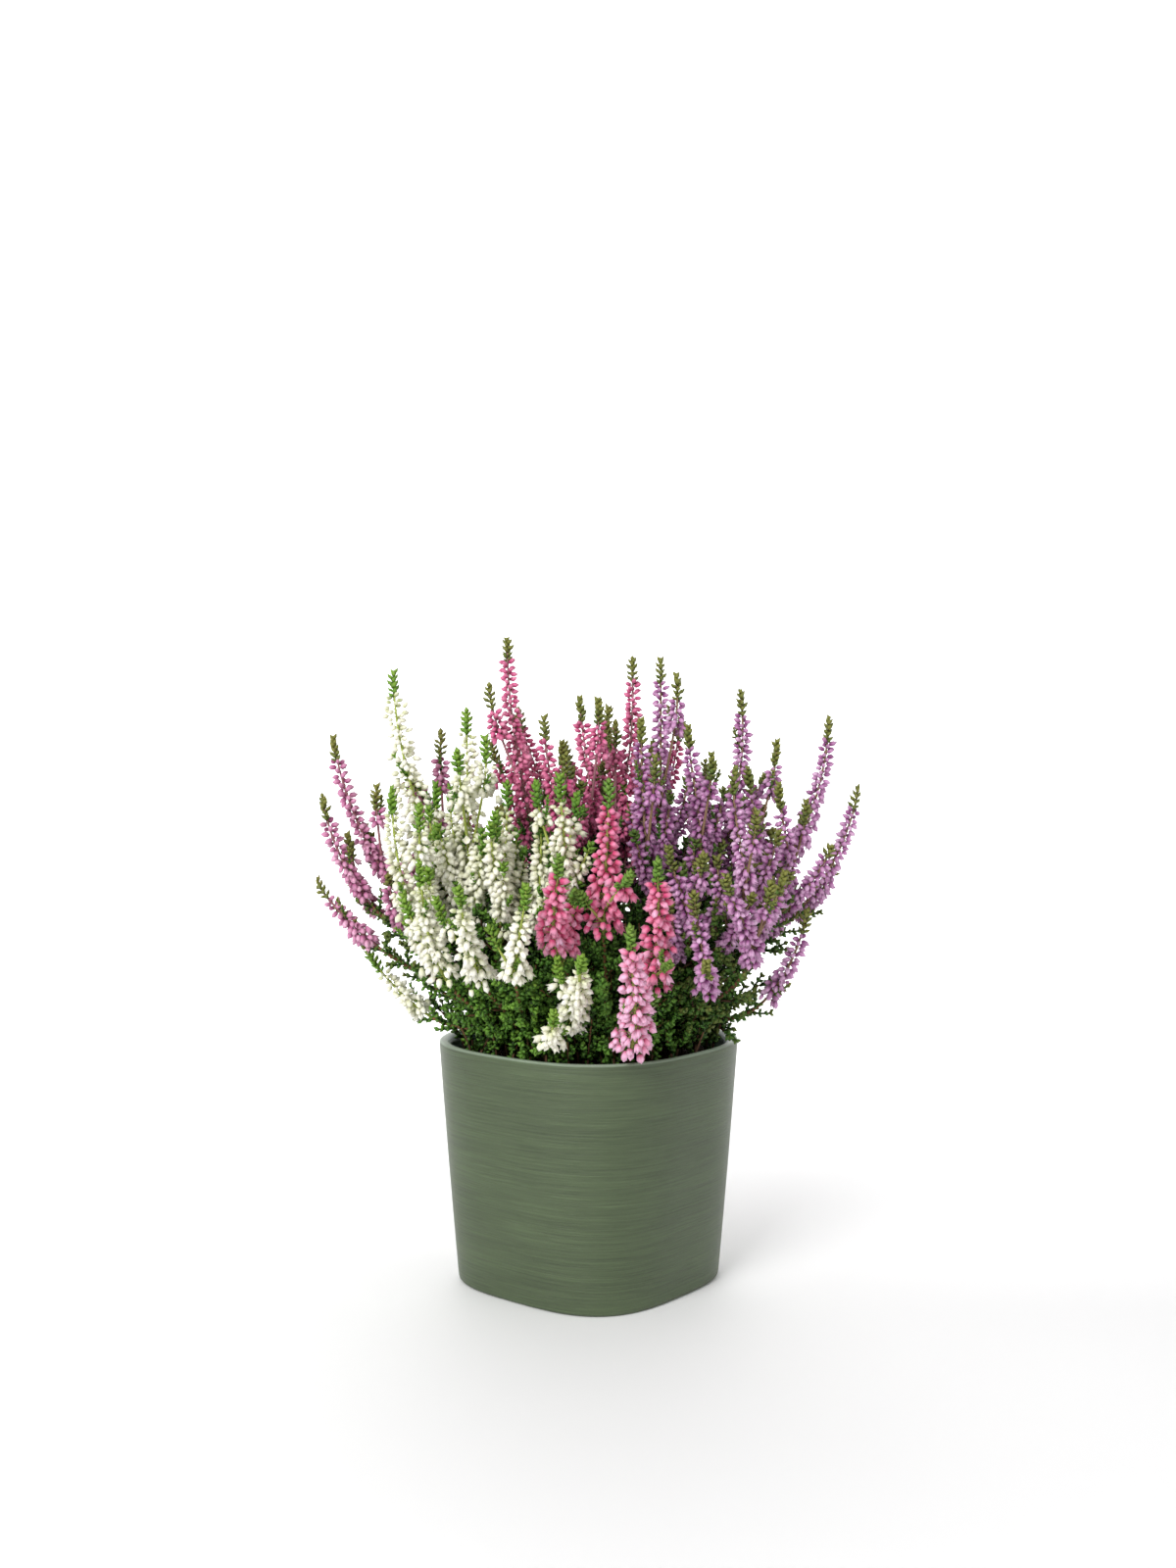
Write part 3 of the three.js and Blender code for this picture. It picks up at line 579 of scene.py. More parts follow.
class Wire:
    """The output of a node. Sums and products with it add Math nodes."""

    def __init__(self, finish, socket):
        self.finish = finish
        self.socket = socket

    def maths(self, operation, *values):
        return self.finish.add("ShaderNodeMath", {"operation": operation}, values)[0]

    def __add__(self, other):
        return self.maths("ADD", self, other)

    def __sub__(self, other):
        return self.maths("SUBTRACT", self, other)

    def __rsub__(self, other):
        return self.maths("SUBTRACT", other, self)

    def __mul__(self, other):
        return self.maths("MULTIPLY", self, other)

    __radd__ = __add__
    __rmul__ = __mul__


class Finish:
    """A node material, whose shader is built from Python expressions."""

    def __init__(self, name):
        self.material = bpy.data.materials.new(name)
        self.material.use_nodes = True
        self.tree = self.material.node_tree
        self.tree.nodes.clear()

    def add(self, kind, settings=None, values=()):
        """Adds a node with its settings, then its values or links, and returns its outputs."""
        node = self.tree.nodes.new(kind)
        for name, setting in (settings or {}).items():
            if name == "stops":
                self.set_stops(node.color_ramp, setting)
            else:
                setattr(node, name, setting)
        sockets = [socket for socket in node.inputs if socket.enabled]
        named = values if isinstance(values, dict) else dict(enumerate(values))
        for key, value in named.items():
            found = sockets[key] if isinstance(key, int) else next(s for s in sockets if s.name == key)
            if isinstance(value, Wire):
                self.tree.links.new(value.socket, found)
            else:
                found.default_value = value
        return [Wire(self, socket) for socket in node.outputs if socket.enabled]

    @staticmethod
    def set_stops(ramp, stops):
        while len(ramp.elements) < len(stops):
            ramp.elements.new(1)
        for element, (place, colour) in zip(ramp.elements, stops):
            element.position = place
            element.color = (*colour, 1)

    def ramp(self, share, stops):
        return self.add("ShaderNodeValToRGB", {"stops": stops}, [share])[0]

    def blend(self, share, first, second):
        """A colour between two others, which are colours or wires."""
        ends = [c if isinstance(c, Wire) else (*c[:3], 1) for c in (first, second)]
        return self.add("ShaderNodeMix", {"data_type": "RGBA"}, [share, *ends])[0]

    def place(self, stretch=(1, 1, 1)):
        """The place on the piece, in metres, stretched along each axis."""
        where = self.add("ShaderNodeTexCoord")[3]
        return self.add("ShaderNodeVectorMath", {"operation": "MULTIPLY"}, [where, stretch])[0]

    def grain(self, where, scale, detail, roughness=0.55):
        values = {"Vector": where, "Scale": scale, "Detail": detail, "Roughness": roughness}
        return self.add("ShaderNodeTexNoise", None, values)[0]

    def smooth(self, value, low, high):
        """0 up to low, 1 from high on and smooth in between, also where high is the lower one."""
        settings = {"interpolation_type": "SMOOTHSTEP"}
        return self.add("ShaderNodeMapRange", settings, [value, low, high, 0, 1])[0]

    def part(self, along, start, full, strength):
        return self.smooth(along, start, full) * strength

    def leaf_map(self):
        """How far along its leaf, bud or twig a point is, and that one's tone."""
        mapped = self.add("ShaderNodeUVMap", {"uv_map": "OFBake"})[0]
        return self.add("ShaderNodeSeparateXYZ", None, [mapped])[:2]

    def surface(self, values, bump=None):
        """Ends the tree in the shader, with a bump's height and depth if there is one."""
        if bump:
            height, depth = bump
            relief = {"Height": height, "Distance": depth}
            values["Normal"] = self.add("ShaderNodeBump", None, relief)[0]
        shader = self.add("ShaderNodeBsdfPrincipled", None, values)[0]
        self.add("ShaderNodeOutputMaterial", None, [shader])
        return self.material


def shades(colour, stops):
    """Stops of a ramp: each place with the colour made darker or lighter."""
    return [(place, tuple(channel * light for channel in colour)) for place, light in stops]


def glaze_finish(name, colour):
    """Satin glaze with brushed level streaks, which are long, thin and uneven, and a painted highlight
    along the lip.
    """
    finish = Finish(name)
    fine, broad, hair = (
        finish.grain(finish.place((1, 1, stretch)), *grain) for stretch, *grain in STREAKS)
    streak = fine * 0.5 + broad * 0.2 + hair * 0.3
    tone = finish.ramp(streak, shades(colour, GLAZE_SHADES))
    height = finish.add("ShaderNodeSeparateXYZ", None, [finish.place()])[2]
    # The lip's top band is blended towards a pale colour: a painted highlight.
    rim = finish.smooth(height, (POT_HEIGHT - LIP_HIGHLIGHT_BAND) * MM, POT_HEIGHT * MM)
    lip_lit = finish.blend(rim * LIP_HIGHLIGHT_SHARE, tone, LIP_HIGHLIGHT_COLOUR)
    values = {
        "Base Color": lip_lit,
        "Roughness": 0.36 + 0.2 * streak,
        "Specular IOR Level": 0.45,
        "Coat Weight": 0.12,
        "Coat Roughness": 0.3,
    }
    return finish.surface(values, (streak, GLAZE_RELIEF))


def peat_finish(colour):
    """Damp peat: dark, rough, with paler dry crumbs."""
    finish = Finish("peat")
    lumps = finish.grain(finish.place(), *LUMP_GRAIN)
    grit = finish.grain(finish.place(), *GRIT_GRAIN)
    tone = finish.ramp(lumps * 0.6 + grit * 0.4, [*shades(colour, PEAT_SHADES), DRY_CRUMB])
    values = {"Base Color": tone, "Roughness": 0.95, "Specular IOR Level": 0.2}
    return finish.surface(values, (grit, PEAT_RELIEF))


def flower_finish(plant):
    """Petals of one plant, each bud in a tone of its own: deeper towards the calyx, partly their own
    colour and partly painted shade, and paler at the tip, a painted highlight.
    """
    young, deep, full, pale = (paint(code) for code in PLANTS[plant]["flowers"])
    finish = Finish(f"{plant}_petals")
    along, tone = finish.leaf_map()
    petal = finish.ramp(tone, list(zip(PETAL_STOPS, (young, young, deep, full, pale))))
    stripes = finish.add("ShaderNodeMath", {"operation": "SINE"}, [tone * STRIPES])[0]
    striped = finish.blend(PETAL_STRIPE + PETAL_STRIPE * stripes, petal, deep)
    # Painted shade deepens the base, partly the petal's own deeper colour; a painted highlight pales
    # the tip.
    shaded = finish.blend(finish.part(along, *PETAL_BASE), striped, deep)
    lit = finish.blend(finish.part(along, *PETAL_TIP), shaded, pale)
    leaf = paint(PLANTS[plant]["leaves"][1])
    green = finish.blend(finish.smooth(along, *PETAL_CALYX), lit, leaf)
    values = {
        "Base Color": green,
        "Roughness": 0.5 + 0.12 * tone,
        "Specular IOR Level": 0.3,
        "Sheen Weight": 0.15,
        "Sheen Roughness": 0.5,
    }
    return finish.surface(values)


def leaf_finish(plant):
    """Scale leaves of one plant: deep green inside the plant and at each leaf's foot, both painted
    shade, fresh at the tips of the spikes.
    """
    finish = Finish(f"{plant}_leaf")
    along, tone = finish.leaf_map()
    low, high = LEAF_BAND
    colours = [paint(code) for code in PLANTS[plant]["leaves"]]
    stops = [(mix(low, high, index / 3), colour) for index, colour in enumerate(colours)]
    green = finish.ramp(tone, stops)
    # Painted shade darkens each leaf's foot.
    based = finish.blend(finish.part(along, *LEAF_FOOT), green, colours[0])
    tipped = finish.blend(finish.part(along, *LEAF_TIP), based, colours[3])
    values = {"Base Color": tipped, "Roughness": 0.46 + 0.15 * along, "Specular IOR Level": 0.35}
    return finish.surface(values)


def bark_finish(plant):
    """Bark of one plant: old twigs are brown, and young ones have the colour of their plant."""
    finish = Finish(f"{plant}_bark")
    along, tone = finish.leaf_map()
    base, middle, top = (paint(code) for code in PLANTS[plant]["bark"])
    old = finish.blend(along, base, middle)
    youth = finish.smooth(tone, BARK_BAND[0] + TONE_WIDTH, BARK_BAND[1] - TONE_WIDTH)
    bark = finish.blend(youth, old, top)
    values = {"Base Color": bark, "Roughness": 0.85 - 0.25 * along, "Specular IOR Level": 0.3}
    return finish.surface(values)


def choose(*pieces):
    """Selects some pieces and nothing else, the first of them as the active one."""
    bpy.ops.object.select_all(action="DESELECT")
    bpy.context.view_layer.objects.active = pieces[0]
    for piece in pieces:
        piece.select_set(True)


@contextlib.contextmanager
def bench(piece):
    """Edit mode on one piece, with nothing picked."""
    choose(piece)
    bpy.ops.object.mode_set(mode="EDIT")
    bpy.ops.mesh.select_mode(type="VERT")
    bpy.ops.mesh.select_all(action="DESELECT")
    yield
    bpy.ops.object.mode_set(mode="OBJECT")


def pick(test, kind="verts"):
    """Picks the vertices, edges or faces of the piece on the bench that pass a test."""
    bpy.ops.mesh.select_all(action="DESELECT")
    bpy.ops.mesh.select_mode(type={"verts": "VERT", "edges": "EDGE", "faces": "FACE"}[kind])
    mesh = bpy.context.edit_object.data
    shape = bmesh.from_edit_mesh(mesh)
    for element in getattr(shape, kind):
        element.select = bool(test(element))
    shape.select_flush_mode()
    bmesh.update_edit_mesh(mesh)


def just_added():
    """The primitive that was just added, with its place in its mesh."""
    bpy.ops.object.transform_apply(location=True)
    return bpy.context.object


def extrude_up(rise):
    bpy.ops.mesh.extrude_region_move(TRANSFORM_OT_translate={"value": (0, 0, rise)})


def scale_round(factor, height):
    """Scales what is picked about the upright axis, at a height."""
    bpy.ops.transform.resize(value=(factor, factor, 1), center_override=(0, 0, height))


def shape_rings(piece, profile):
    """Takes each ring of a primitive, from the lowest up, to a height and a radius."""
    vertices = piece.data.vertices
    heights = sorted({round(vertex.co.z, 4) for vertex in vertices})
    rings = [{v.index for v in vertices if round(v.co.z, 4) == height} for height in heights]
    radii = [max(vertices[index].co.xy.length for index in ring) for ring in rings]
    with bench(piece):
        for ring, height, radius, (new_height, new_radius) in zip(rings, heights, radii, profile):
            pick(lambda vertex, ring=ring: vertex.index in ring)
            scale_round(new_radius / radius if radius > ON_AXIS else 1, height)
            bpy.ops.transform.translate(value=(0, 0, new_height - height))


def is_between_sepals(vertex):
    """Whether a vertex of a bud lies in the seam between two sepals."""
    turn = bearing(vertex.co) / (FULL_TURN / BUD_SIDES)
    return vertex.co.xy.length > ON_AXIS and round(turn) % 2 == 1


def model_bud(length, width):
    """A closed bud: four sepals round a pointed oval, standing on its base."""
    half = width / 2
    rings = len(BUD_RINGS) - 1
    bpy.ops.mesh.primitive_uv_sphere_add(segments=BUD_SIDES, ring_count=rings, radius=half)
    bud = just_added()
    shape_rings(bud, [(rise * length, reach * half) for rise, reach in BUD_RINGS])
    with bench(bud):
        pick(is_between_sepals)
        scale_round(SEAM_DEPTH, 0)
    return bud


def model_bell(length, width):
    """An open flower: a bell whose four pointed sepals are splayed round a dark throat."""
    half = width / 2
    bpy.ops.mesh.primitive_circle_add(vertices=BUD_SIDES, radius=half * BELL_BASE, fill_type="NGON")
    bell = just_added()
    with bench(bell):
        bpy.ops.mesh.select_all(action="SELECT")
        height = 0
        for rise, widening in BELL_WALL:
            extrude_up(rise * length)
            height += rise * length
            scale_round(widening, height)
        for margin, drop in BELL_THROAT:
            bpy.ops.mesh.inset(thickness=margin * half, use_even_offset=True)
            bpy.ops.transform.translate(value=(0, 0, -drop * length))
        rim = height - BELL_RIM * length
        pick(lambda vertex: vertex.co.z > rim and not is_between_sepals(vertex))
        scale_round(SEPAL_SPLAY, height)
        bpy.ops.transform.translate(value=(0, 0, SEPAL_LENGTH * length))
        bpy.ops.mesh.select_all(action="SELECT")
        bpy.ops.mesh.normals_make_consistent(inside=False)
    return bell


def model_leaf(length, width):
    """A scale leaf: a blunt keeled boat, widest above its middle, that bows away from its twig."""
    half = width / 2
    bpy.ops.mesh.primitive_cone_add(
        vertices=3, radius1=half, radius2=0, depth=length * LEAF_CONE, end_fill_type="TRIFAN",
        location=(0, 0, length * LEAF_MIDDLE))
    leaf = just_added()
    with bench(leaf):
        pick(lambda vertex: vertex.co.z < length * LEAF_MIDDLE and vertex.co.xy.length < half / 2)
        bpy.ops.transform.translate(value=Vector(LEAF_BASE) * length)
        bpy.ops.mesh.select_all(action="SELECT")
        bpy.ops.transform.resize(value=LEAF_FLATTENED, center_override=(0, 0, 0))
        pick(lambda vertex: vertex.co.z > length * LEAF_MIDDLE)
        bpy.ops.transform.translate(value=Vector(LEAF_CURL) * length)
    return leaf


def model_stalk():
    """A flower's stalk, a millimetre long and in radius, that ends in a point inside the flower."""
    bpy.ops.mesh.primitive_cone_add(
        vertices=3, radius1=1, radius2=0, depth=1, end_fill_type="NGON", location=(0, 0, 0.5))
    return just_added()


def model_twig(sides, segments, knots=0.0):
    """A straight twig a millimetre long and in radius, with rings to bend it at."""
    bpy.ops.mesh.primitive_cylinder_add(
        vertices=sides, radius=1, depth=1, end_fill_type="TRIFAN", location=(0, 0, 0.5))
    twig = just_added()
    with bench(twig):
        for segment in range(1, segments):
            bpy.ops.mesh.select_all(action="SELECT")
            bpy.ops.mesh.bisect(plane_co=(0, 0, segment / segments), plane_no=(0, 0, 1))
        if knots:
            pick(lambda vertex: round(vertex.co.z * segments) % 3 == 1 and vertex.co.z < 0.99)
            scale_round(1 + knots, 0)
    return twig


def model_crumb():
    """A crumb of peat, a millimetre in radius: a rough lump."""
    bpy.ops.mesh.primitive_ico_sphere_add(subdivisions=1, radius=1)
    crumb = just_added()
    with bench(crumb):
        bpy.ops.mesh.select_all(action="SELECT")
        bpy.ops.transform.vertex_random(
            offset=CRUMB_ROUGHNESS, uniform=0.5, normal=0.5, seed=CRUMB_SEED)
        bpy.ops.transform.resize(value=CRUMB_FLATTENED, center_override=(0, 0, 0))
    return crumb


def read(elements, name, width, kind=float):
    values = np.empty(len(elements) * width, kind)
    elements.foreach_get(name, values)
    return values.reshape(-1, width) if width > 1 else values


class Shape:
    """A modelled part as numbers, to be copied many times into one piece."""

    def __init__(self, part, span=(0.0, 1.0)):
        self.points = read(part.data.vertices, "co", 3)
        self.corners = read(part.data.loops, "vertex_index", 1, np.int32)
        self.starts = read(part.data.polygons, "loop_start", 1, np.int32)
        heights = self.points[:, 2]
        self.along = mix(*span, (heights - heights.min()) / np.ptp(heights))
        level = self.points @ toward(TONE_TURN)
        self.across = level / np.ptp(level)
        bpy.data.objects.remove(part)


def hold_in_box(points):
    """Eases what reaches past the frame's box back inside it, over the last millimetres before it."""
    low, high = CAD_BOX_MM
    for bound, sign in ((high, 1), (low, -1)):
        past = np.maximum((points - bound) * sign + BOX_EASING, 0)
        points = points - sign * (past - BOX_EASING * BOX_SHARE * np.tanh(past / BOX_EASING))
    return points


class Gathering:
    """Collects copies of shapes, in millimetres, and makes one piece of them."""

    def __init__(self):
        self.points, self.corners, self.starts, self.maps, self.slots = [], [], [], [], []
        self.point_count = 0
        self.corner_count = 0

    def put(self, shape, points, tones, slot=0):
        """Adds copies: their points, one row for each copy, with a tone for each."""
        copies = len(points)
        if not copies:
            return
        count = len(shape.points)
        shift = self.point_count + np.arange(copies)[:, None] * count
        self.corners.append((shape.corners + shift).ravel())
        turn = self.corner_count + np.arange(copies)[:, None] * len(shape.corners)
        self.starts.append((shape.starts + turn).ravel())
        self.points.append(points.reshape(-1, 3))
        along = np.broadcast_to(shape.along, (copies, count))
        tone = np.asarray(tones)[:, None] + TONE_WIDTH * shape.across
        self.maps.append(np.stack([along, tone], axis=-1)[:, shape.corners].reshape(-1, 2))
        self.slots.append(np.full(copies * len(shape.starts), slot, np.int32))
        self.point_count += copies * count
        self.corner_count += copies * len(shape.corners)

    def place(self, shape, places, turns, sizes, tones):
        """Adds copies at places, each with its three axes and its size along them."""
        scaled = shape.points[None] * np.broadcast_to(sizes, (len(places), 3))[:, None]
        self.put(shape, scaled @ turns + places[:, None], tones)

    def piece(self, name, materials):
        mesh = bpy.data.meshes.new(name)
        lists = (self.points, self.corners, self.starts, self.maps, self.slots)
        points, corners, starts, maps, slots = (np.concatenate(rows) for rows in lists)
        points = hold_in_box(points)
        mesh.vertices.add(len(points))
        mesh.vertices.foreach_set("co", (points * MM).astype(np.float32).ravel())
        mesh.loops.add(len(corners))
        mesh.loops.foreach_set("vertex_index", corners)
        mesh.polygons.add(len(starts))
        mesh.polygons.foreach_set("loop_start", starts)
        mesh.polygons.foreach_set("material_index", slots)
        mesh.polygons.foreach_set("use_smooth", np.ones(len(starts), bool))
        layer = mesh.uv_layers.new(name="OFBake")
        layer.uv.foreach_set("vector", maps.astype(np.float32).ravel())
        mesh.update(calc_edges=True)
        for material in materials:
            mesh.materials.append(material)
        piece = bpy.data.objects.new(name, mesh)
        bpy.context.scene.collection.objects.link(piece)
        return piece


def axes(directions, outward):
    """Turns whose third axis is a direction and whose second faces outward, as rows."""
    third = unit(directions)
    first = unit(np.cross(outward, third))
    return np.stack([first, np.cross(third, first), third], axis=1)


def bezier(curve, t):
    t = np.asarray(t, float)[..., None]
    a, b, c, d = curve
    return a * (1 - t) ** 3 + 3 * b * t * (1 - t) ** 2 + 3 * c * t * t * (1 - t) + d * t ** 3


def tangent(curve, t):
    t = np.asarray(t, float)[..., None]
    a, b, c, d = curve
    return unit((b - a) * (1 - t) ** 2 + 2 * (c - b) * t * (1 - t) + (d - c) * t * t)


def curve_length(curve):
    points = bezier(curve, np.linspace(0, 1, LENGTH_SAMPLES))
    return np.linalg.norm(np.diff(points, axis=0), axis=1).sum()


def curve_frame(curve, t):
    """Places along a curve with the two axes across it and the one along it."""
    along = tangent(curve, t)
    guide = unit(np.cross([0.0, 1.0, 0.0], curve[3] - curve[0]))
    side = unit(guide - along * (along @ guide)[..., None])
    return bezier(curve, t), side, np.cross(along, side), along


def round_curve(frames, turns):
    """Unit vectors away from a curve, at angles round it."""
    _, side, other, _ = frames
    return side * np.cos(turns)[:, None] + other * np.sin(turns)[:, None]


def bent(shape, curve, radii, stretch):
    """A straight shape's points, bent along a stretch of a curve, with a radius at either end."""
    share = shape.points[:, 2]
    places, side, other, _ = curve_frame(curve, mix(*stretch, share))
    radius = mix(*radii, share)[:, None]
    return places + side * shape.points[:, :1] * radius + other * shape.points[:, 1:2] * radius


def bowed(foot, tip, direction):
    """The curve of a spike or shoot: it leaves its foot along a direction and ends at its tip."""
    length = np.linalg.norm(tip - foot)
    lean = (tip - foot) * (1, 1, 0)
    outward = unit(lean if lean @ lean > 1 else foot * (1, 1, 0))
    return np.array([
        foot,
        foot + direction * length / 3,
        mix(foot, tip, 2 / 3) + outward * length * SPIKE_BOW,
        tip,
    ])


def over_base(plant, rise):
    """A place over the middle of a plant's base, by a rise above the mound of peat."""
    return np.array([*PLANTS[plant]["foot"], PEAT_EDGE + PEAT_MOUND + rise])


def offshoot(curve, share, turn, length, lean, bend):
    """A shoot that leaves a curve at a share of it, on one side of it.

    lean gives how far it starts along the curve, away from it and upwards, and bend gives how far
    it then turns along the curve and upwards.
    """
    place, side, other, along = (row[0] for row in curve_frame(curve, np.array([share])))
    away = side * math.cos(turn) + other * math.sin(turn)
    heading = unit(lean[0] * along + lean[1] * away + lean[2] * UP)
    return bowed(place, place + unit(heading + bend[0] * along + bend[1] * UP) * length, heading)


class Spike:
    """A flower spike: its curve, the stretch of it that bears flowers, and its widest radius."""

    def __init__(self, name, plant, curve, stretch, widest):
        self.name = name
        self.plant = plant
        self.curve = curve
        self.length = curve_length(curve)
        self.stretch = stretch
        self.widest = widest


class Spray:
    """A flower spray: its plant and name, its foot and tips, and the stem that it forks from."""

    def __init__(self, plant, number, foot, tips):
        self.plant = plant
        self.node = f"{plant}_spray_{number:02d}"
        self.foot = np.array(foot, float)
        self.tips = [np.array(tip, float) for tip in tips]
        self.parent = None
        self.fork = 0
        self.all_spikes = []

    def start(self):
        """Where the stem starts: on the stem that it forks from, or in the plant's base."""
        if self.parent:
            return bezier(self.parent.stem(), self.fork)
        return over_base(self.plant, BASE_RISE / 2)

    def direction(self):
        rise = unit(np.mean(self.tips, axis=0) - self.foot)
        return unit(rise + unit(self.foot - self.start()))

    def stem(self):
        start = self.start()
        length = np.linalg.norm(self.foot - start)
        rise = unit(self.foot - start) if self.parent else UP
        return np.array([
            start,
            start + rise * length * STEM_RISE / 2,
            self.foot - self.direction() * length * STEM_RISE,
            self.foot,
        ])

    def spike(self, index):
        """The first spike stands on the stem, and the others leave it a little further up."""
        direction = self.direction()
        foot = self.foot + direction * SEAT_GAP
        main = bowed(foot, self.tips[0], direction)
        if index == 0:
            return main
        start = bezier(main, SIDE_FROM * index)
        return bowed(start, self.tips[index], unit(self.tips[index] - start + direction))

    def widest(self, length):
        return PLANTS[self.plant]["breadth"] * (SPIKE_RADIUS + SPIKE_RADIUS_PER_LENGTH * length)

    def bare(self, index, curve):
        """The share of a spike with no flowers: a short stem end, or what the main spike covers."""
        length = curve_length(curve)
        if index == 0:
            return SPIKE_BARE / length
        main = self.spike(0)
        line = bezier(main, np.linspace(0, 1, SPREAD_SAMPLES + 1))
        clear = self.widest(curve_length(main)) + self.widest(length) * SIDE_NESTLE
        for share in SIDE_SHARES:
            if np.linalg.norm(line - bezier(curve, share), axis=1).min() > clear:
                return share
        return SIDE_LATEST

    def spikes(self):
        """The spikes of the frame, then short filler spikes that close the gaps between them."""
        if not self.all_spikes:
            for index in range(len(self.tips)):
                curve = self.spike(index)
                length = curve_length(curve)
                self.add_spike(curve, self.bare(index, curve), self.widest(length), TIP_LENGTH / length)
            for curve in self.filler_curves():
                widest = self.widest(curve_length(curve)) * FILLER_BREADTH
                self.add_spike(curve, FILLER_BARE, widest, FILLER_TIP)
        return self.all_spikes

    def add_spike(self, curve, bare, widest, tip):
        name = f"{self.node}_{len(self.all_spikes)}"
        self.all_spikes.append(Spike(name, self.plant, curve, (bare, 1 - tip), widest))

    def filler_curves(self):
        """Curves that leave the stem below its spikes, on all sides of it, and turn upwards."""
        draw = stream("filler", self.node)
        stem = self.stem()
        curves = []
        for index in range(PLANTS[self.plant]["fillers"]):
            share = mix(*FILLER_FROM, (index + draw.uniform(0, 1)) / PLANTS[self.plant]["fillers"])
            turn = index * GOLDEN_TURN + draw.uniform(0, 2)
            curve = offshoot(stem, share, turn, draw.uniform(*FILLER_LENGTHS), SIDE_LEAN, FILLER_BEND)
            if curve[0][2] > FILLER_ABOVE and within_box(curve[3], FILLER_MARGIN):
                curves.append(curve)
        return curves


def back_sprays():
    """Sprays out of sight: three tiers over the back half, each of the plant that stands nearest."""
    def place(turn, reach, height):
        return toward(turn * math.pi) * reach + UP * height

    rows = []
    for index in range(BACK_COUNT):
        tier = BACK_TIERS[index % len(BACK_TIERS)]
        turn = mix(*BACK_FAN, (index + 0.5) / BACK_COUNT)
        wobble = BACK_WOBBLE * (fraction(index * GOLDEN) - 0.5)
        foot = place(turn, tier["foot_reach"], tier["foot_height"] + wobble)
        fork = BACK_FORK / 4 * (1 if index % 2 == 0 else -1)
        high = place(turn - fork, tier["tip_reach"] + wobble, tier["tip_height"] + wobble)
        low = place(turn + fork, tier["tip_reach"] - wobble, tier["tip_height"] - BACK_FORK_DROP)
        inner = "mauve" if foot[0] < BACK_MAUVE_FROM else "pink"
        rows.append(("lilac" if foot[0] > BACK_LILAC_FROM else inner, foot, [high, low]))
    return rows


def grow_stems(sprays):
    """Each stem forks from the nearest stem of its plant that is there, or rises from the base."""
    grown = []
    for spray in sorted(sprays, key=lambda one: -one.foot[2]):
        nearest = np.linalg.norm(spray.start() - spray.foot)
        for parent in [one for one in grown if one.plant == spray.plant]:
            curve = parent.stem()
            for fork in STEM_FORKS:
                place = bezier(curve, fork)
                reach = np.linalg.norm(place - spray.foot)
                if reach < nearest and place[2] <= spray.foot[2] - STEM_FORK_RISE:
                    nearest = reach
                    spray.parent = parent
                    spray.fork = fork
        grown.append(spray)


def node_triangles(node):
    """The triangles of a node of the frame, in millimetres."""
    mesh = frame["nodes"][node].data
    corners = read(mesh.loops, "vertex_index", 1, np.int32)
    return read(mesh.vertices, "co", 3)[corners].reshape(-1, 3, 3) / MM


def read_depths(sprays):
    """Gives each foot and tip the depth that it has in the frame, where spikes were bent apart."""
    for spray in sprays:
        first = node_triangles(spray.node)
        second = np.roll(first, -1, axis=1)
        level = spray.foot[[0, 2]]
        near = [
            np.linalg.norm(ends[..., [0, 2]] - level, axis=2) < FOOT_WITHIN for ends in (first, second)]
        sides = np.abs(np.linalg.norm(first - second, axis=2) - SPIKE_NECK) < FOUND_WITHIN / 4
        at_foot = sides & near[0] & near[1]
        spray.foot[1] = (first[at_foot][:, 1].mean() + second[at_foot][:, 1].mean()) / 2
        points = first.reshape(-1, 3)
        for tip in spray.tips:
            found = np.abs(points[:, [0, 2]] - tip[[0, 2]]).max(axis=1) < FOUND_WITHIN
            tip[1] = points[found][:, 1].mean()
    for spray in sprays:
        spray.foot[1] -= SEAT_GAP * spray.direction()[1]


def list_sprays():
    counts = {}
    sprays = []
    for plant, foot, tips in [*FRONT_SPRAYS, *back_sprays()]:
        counts[plant] = counts.get(plant, 0) + 1
        sprays.append(Spray(plant, counts[plant], foot, tips))
    grow_stems(sprays)
    read_depths(sprays)
    return sprays


def shoot_curve(foot, turn, slope, length):
    """A leafy shoot that leaves its foot in a direction round the upright and turns upwards."""
    away = unit(toward(turn) + UP * slope)
    return bowed(foot, foot + away * length + UP * length * SHOOT_RISE, away)


def frame_shoots(sprays):
    """The frame's shoots by plant: a collar at its base and one on each stem that has a tip there."""
    tips = {plant: node_triangles(f"{plant}_stems").reshape(-1, 3) for plant in PLANTS}
    places = []
    for plant in PLANTS:
        foot = over_base(plant, COLLAR_RISE)
        for index in range(COLLAR_COUNT):
            turn = bearing(foot) + (index / (COLLAR_COUNT - 1) - 0.5) * math.pi
            length = mix(*COLLAR_LENGTHS, fraction(index * GOLDEN))
            places.append((plant, [shoot_curve(foot, turn, slope, length) for slope in COLLAR_SLOPES]))
    for index, spray in enumerate(sprays):
        swing = math.pi * mix(*SHOOT_SWING, fraction(index * GOLDEN))
        stem = spray.stem()
        tries = [
            shoot_curve(bezier(stem, place), bearing(spray.foot) + turn, SHOOT_SLOPE, SHOOT_LENGTH)
            for place in SHOOT_PLACES for turn in (swing, -swing)]
        places.append((spray.plant, tries))
    found = {plant: [] for plant in PLANTS}
    for plant, tries in places:
        for curve in tries:
            if np.linalg.norm(tips[plant] - curve[3], axis=1).min() < FOUND_WITHIN * 5:
                found[plant].append(curve)
                break
    return found


def pot_reach(angle, height, inset):
    """Distance from the axis to the pot's rounded square, in one direction, at a height."""
    share = height / POT_HEIGHT
    half = mix(POT_FOOT_HALF, POT_RIM_HALF, share) - inset
    exponent = mix(POT_FOOT_EXPONENT, POT_RIM_EXPONENT, share)
    c = np.abs(np.cos(angle - POT_TURN))
    s = np.abs(np.sin(angle - POT_TURN))
    return half / (c ** exponent + s ** exponent) ** (1 / exponent)


